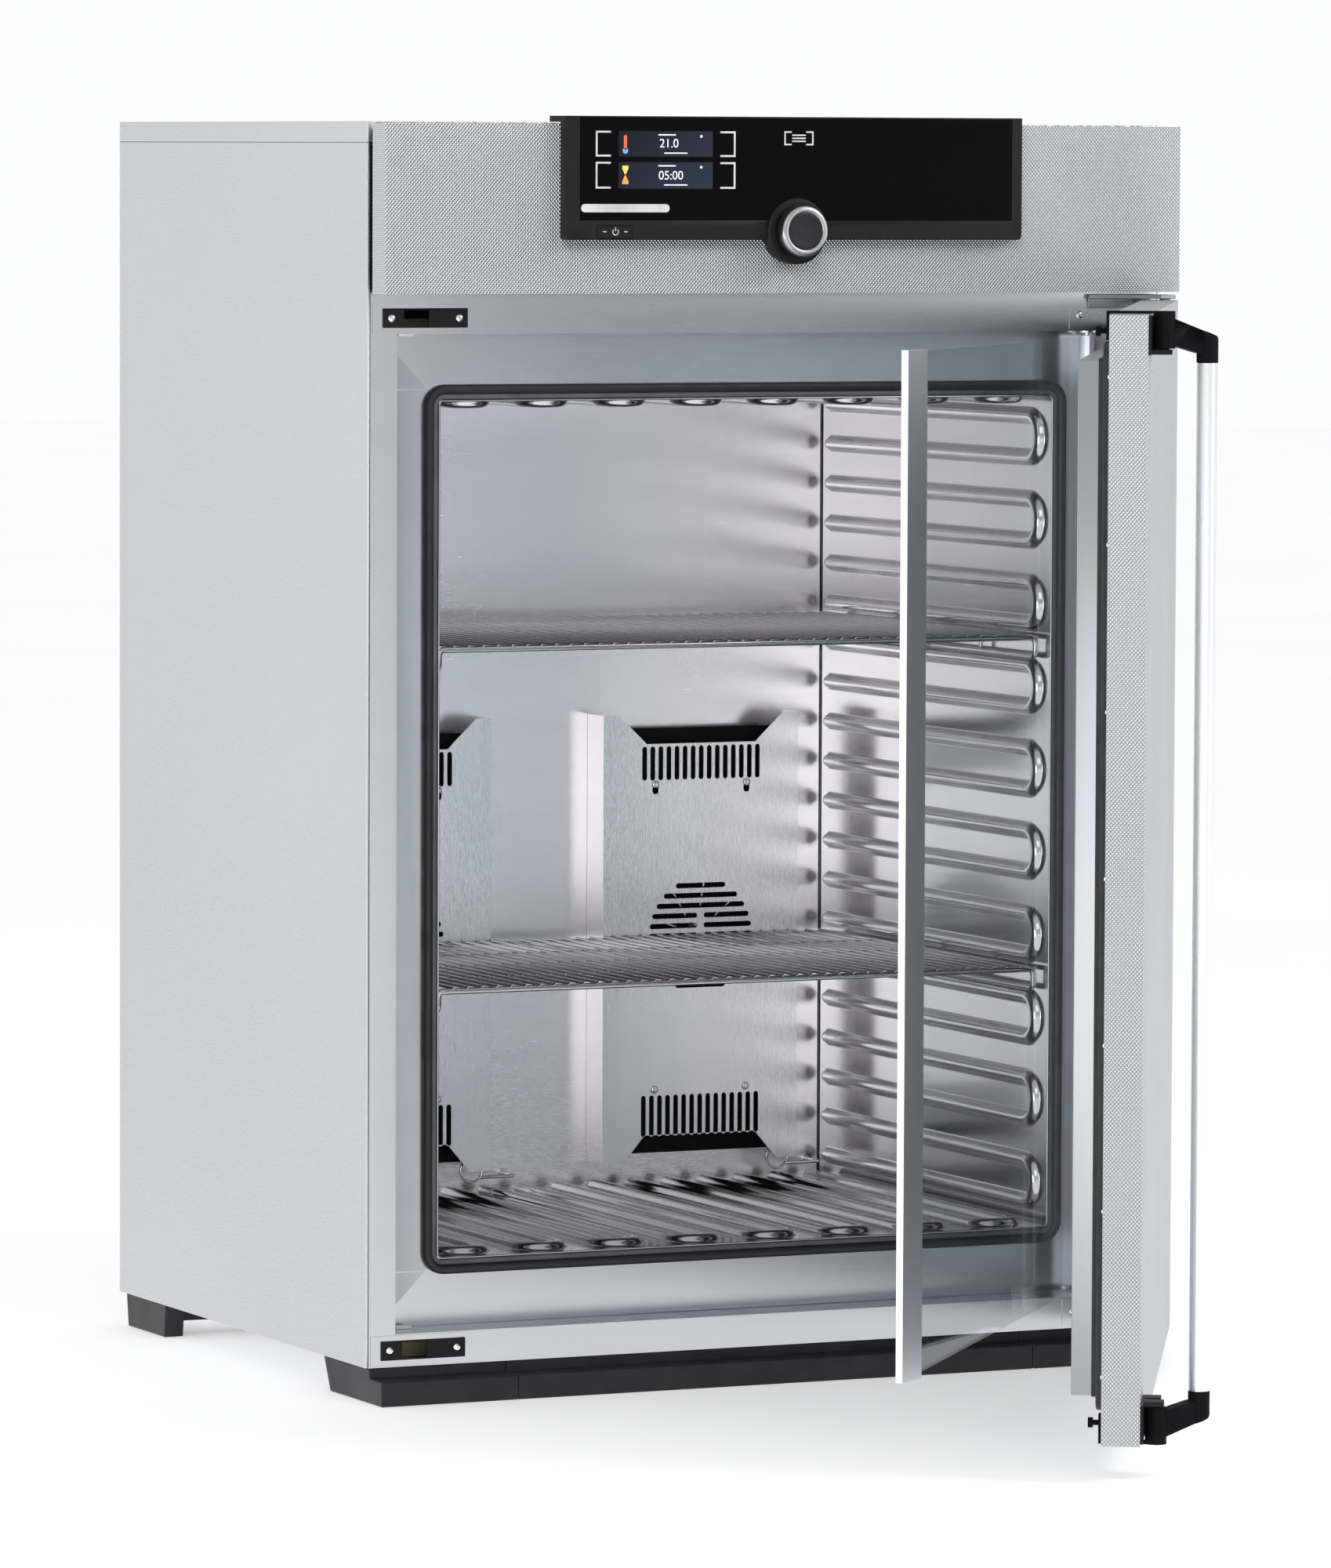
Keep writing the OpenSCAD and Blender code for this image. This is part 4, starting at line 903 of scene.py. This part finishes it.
def make_switch_mark():
    """Power sign, an open ring with a short line, between two bars."""
    cx, cz = -185.5, 1085.2

    def arc(radius, degrees):
        return [(cx + radius * math.sin(math.radians(a)), cz + radius * math.cos(math.radians(a)))
                for a in degrees]

    ring = arc(3.3, range(38, 323, 15)) + arc(2.5, range(322, 37, -15))
    loops = [(ring, []), (box_loop((cx - 0.4, cx + 0.4), (cz + 0.6, cz + 4.2), 0.2), [])]
    for dx in (-11, 10.5):
        loops.append((box_loop((cx + dx - 1.8, cx + dx + 1.8), (cz - 0.4, cz + 0.5), 0.3), []))
    add_flat("switch_marks", loops, "print", -11.8, 0.1, "power_switch")


def make_panel():
    refine("panel_housing", "plastic", 1.0, whole_faces=False)
    refine("panel_glass", "gloss", 0.5)
    refine("main_switch", "plastic", 0.6)
    make_displays()
    make_switch_mark()
    make_knob()


def make_knob():
    """Surround on the panel, the turning ring and the dished cap. Profiles are (radius, y)."""
    bm = bmesh.new()
    add_lathe(bm, [(5.1, -13.2), (22, -13.4), (28.4, -14.0), (30.2, -13.4), (31, -12.0), (31, 0), (5.1, 0)],
              KNOB, 96)
    add_piece("knob_surround", mesh_of(bm, "knob_surround"), "cabinet", "plastic", ("knob_bezel",), sharp=50)
    bm = bmesh.new()
    add_lathe(bm, [(17.3, -29.2), (17.8, -30.6), (18.8, -31.0), (21.4, -30.9), (22.8, -30.2), (23.6, -28.8),
                   (23.7, -27), (23.7, -18.2), (23.0, -17.0), (5.1, -17.0)], KNOB, 96)
    add_piece("knob_turned_ring", mesh_of(bm, "knob_turned_ring"), "knob", "ring", ("knob_ring",), sharp=50)
    bm = bmesh.new()
    add_lathe(bm, [(0.4, -29.3), (8, -29.5), (14.6, -30.2), (16.4, -30.5), (17.1, -30.0), (17.15, -28.1),
                   (0.4, -28.0)], KNOB, 96)
    add_piece("knob_dished_cap", mesh_of(bm, "knob_dished_cap"), "knob", "cap", ("knob_cap",), sharp=50)


# ---------- doors ----------
def make_doors():
    refine("door_skin", "door", 1.2)
    refine("door_block", "block", 1.2)
    refine("handle_bearings", "plastic", 1.0)
    for node in ("handle_arm_upper", "handle_arm_lower"):
        refine(node, "arm", 1.3, segments=3)
    refine("handle_bar", "bar", 0.5)
    make_door_seal()
    make_block_foot()
    make_door_rivets()
    for node in ("glass_grip", "glass_hinge_profile"):
        refine(node, "grip", 0.35)
    refine("glass_pane", "glass", 0.4)


def make_door_seal():
    """Soft seal with two lips, just thin enough to clear the corner plates when the door is closed."""
    y = DOOR_T
    lips = [(0, y - 0.1), (0, y + 4.2), (-1.2, y + 5.5), (-3.0, y + 5.8), (-4.4, y + 4.8), (-5.6, y + 3.9),
            (-7.0, y + 4.9), (-8.6, y + 5.6), (-10.2, y + 5.0), (-11, y + 3.0), (-11, y - 0.1)]
    bm = bmesh.new()
    add_band(bm, SEAL_X, SEAL_Z, SEAL_CORNER, lips)
    add_piece("door_seal_lips", mesh_of(bm, "door_seal_lips"), "outer_door", "seal", ("door_seal",),
              turn=ON_OUTER, sharp=50)


def make_block_foot():
    """Dark band around the foot of the door's block: painted shade for the dark gap beside the seal, made as
    a band of the seal's silicone.
    """
    y, gap, high = DOOR_T, 0.1, 10.2
    bm = bmesh.new()
    add_band(bm, BLOCK_X + gap, (BLOCK_Z[0] - gap, BLOCK_Z[1] + gap), 1.2,
             [(0, y), (0, y + high), (0.9, y + high), (1.3, y + high - 0.6), (1.3, y)])
    add_piece("block_foot", mesh_of(bm, "block_foot"), "outer_door", "seal", turn=ON_OUTER,
              sharp=50)


def make_door_rivets():
    """Row of small domes down the inner sheet, beside the door's free edge."""
    x, top, pitch = -398.6, 966, 145.5
    bm = bmesh.new()
    for i in range(7):
        add_lathe(bm, [(0.5, DOOR_T - 0.6), (1.6, DOOR_T - 0.2), (2.2, DOOR_T + 0.3), (2.2, DOOR_T + 1.2)],
                  (x, top - i * pitch), 20)
    add_piece("door_rivets", mesh_of(bm, "door_rivets"), "outer_door", "chrome",
              turn=ON_OUTER)


# ---------- nodes shown as they are in the CAD ----------
def paint_plain_nodes():
    """Gives each of them its own finish."""
    paint = {
        "casing_floor": "side", "electronics_deck": "frame", "insulation_wrap": "wool",
        "insulation_rear": "wool", "door_insulation": "wool", "heater_mats": "foil", "fan_motors": "motor",
        "fan_rotor_left": "rod", "fan_rotor_right": "rod", "temperature_probes": "chrome",
        "control_board": "board", "knob_shaft": "chrome", "door_hinge_blocks": "frame",
    }
    for node, material in paint.items():
        slots = frame["nodes"][node].data.materials
        slots.clear()
        slots.append(FINISHES[material])


# ---------- floor, light ----------
def make_stage():
    """Round white floor, faintly lit from itself so that it meets the white behind it without an edge."""
    mesh = bpy.data.meshes.new("floor")
    bm = bmesh.new()
    radius, sides = 30.0, 40
    centre = bm.verts.new((0, 0, 0))
    turns = [2 * math.pi * k / sides for k in range(sides)]
    rim = [bm.verts.new((radius * math.cos(a), radius * math.sin(a), 0)) for a in turns]
    for k in range(sides):
        bm.faces.new((centre, rim[k], rim[(k + 1) % sides]))
    bm.to_mesh(mesh)
    bm.free()
    s = Shader("floor_paint", (0.88, 0.88, 0.88), 0.0, 0.7)
    s.set("Specular IOR Level", 0.1)
    s.set("Emission Color", (1, 1, 1, 1))
    s.set("Emission Strength", 0.36)
    s.vary_color(s.noise(1.0), (0.87, 0.87, 0.87), (0.9, 0.9, 0.9))
    mesh.materials.append(s.mat)
    floor = bpy.data.objects.new("floor", mesh)
    bpy.context.scene.collection.objects.link(floor)
    floor.visible_glossy = False


def area_light(name, place, target, size, power):
    data = bpy.data.lights.new(name, "AREA")
    data.shape, data.size, data.size_y = "RECTANGLE", size[0], size[1]
    data.energy = power
    lamp = bpy.data.objects.new(name, data)
    bpy.context.scene.collection.objects.link(lamp)
    lamp.visible_camera = False
    lamp.location = place
    lamp.rotation_euler = (Vector(target) - Vector(place)).to_track_quat("-Z", "Y").to_euler()


def make_world():
    """White studio: bright below the horizon and dimmer above it. The camera itself sees full white."""
    world = bpy.data.worlds.new("studio")
    bpy.context.scene.world = world
    world.use_nodes = True
    nodes = Nodes(world.node_tree)
    way = nodes.add("SeparateXYZ", {0: nodes.add("TexCoord", out="Generated")}).node.outputs
    side = nodes.ramp(way[0], -1.0, 0.6, 1.06, 1.0)
    high = nodes.ramp(way[2], -0.10, 0.03, 1.26, 0.68)
    glow = nodes.math("MULTIPLY", side, high)
    seen = nodes.math("MAXIMUM", nodes.add("LightPath", out="Is Camera Ray"), glow)
    back = world.node_tree.nodes["Background"]
    nodes.link(back, "Strength", seen)
    nodes.link(back, "Color", (0.985, 0.99, 1.0, 1))


make_stage()
make_world()
area_light("key", (-2.6, -4.2, 3.2), (0, 0, 0.7), (2.2, 2.2), 22)
area_light("fill", (3.0, -3.6, 1.6), (0, 0, 0.6), (2.0, 2.4), 16)
area_light("rim", (-3.2, 2.6, 2.4), (0, 0, 0.8), (2.0, 2.0), 8)
area_light("panel_card", (1.9, -2.2, 2.5), (0.4, -0.34, 1.1), (1.4, 1.2), 30)
area_light("door_edge_card", (-0.22, -1.62, 0.40), (0.0, -1.03, 0.40), (0.3, 0.7), 1.2)
area_light("chamber_card", (-0.86, -2.83, 0.32), (0.1, -0.8, 0.40), (1.2, 0.6), 3.4)
area_light("inner_door_card", (-2.4, -0.95, 0.46), (0.2, -0.7, 0.5), (1.2, 0.9), 10)
bpy.context.scene.view_settings.view_transform = "Standard"
bpy.context.scene.cycles.max_bounces = 14
bpy.context.scene.cycles.glossy_bounces = 10

make_cabinet()
make_recess_seams()
make_screws()
make_liner()
make_gasket()
make_shelf("shelf_lower", "lower_shelf", SHELF_LEGS[0])
make_shelf("shelf_upper", "upper_shelf", SHELF_LEGS[1])
make_fan_cover("fan_cover_left", -FAN_X)
make_fan_cover("fan_cover_right", FAN_X)
make_cover_screws()
make_panel()
make_doors()
paint_plain_nodes()
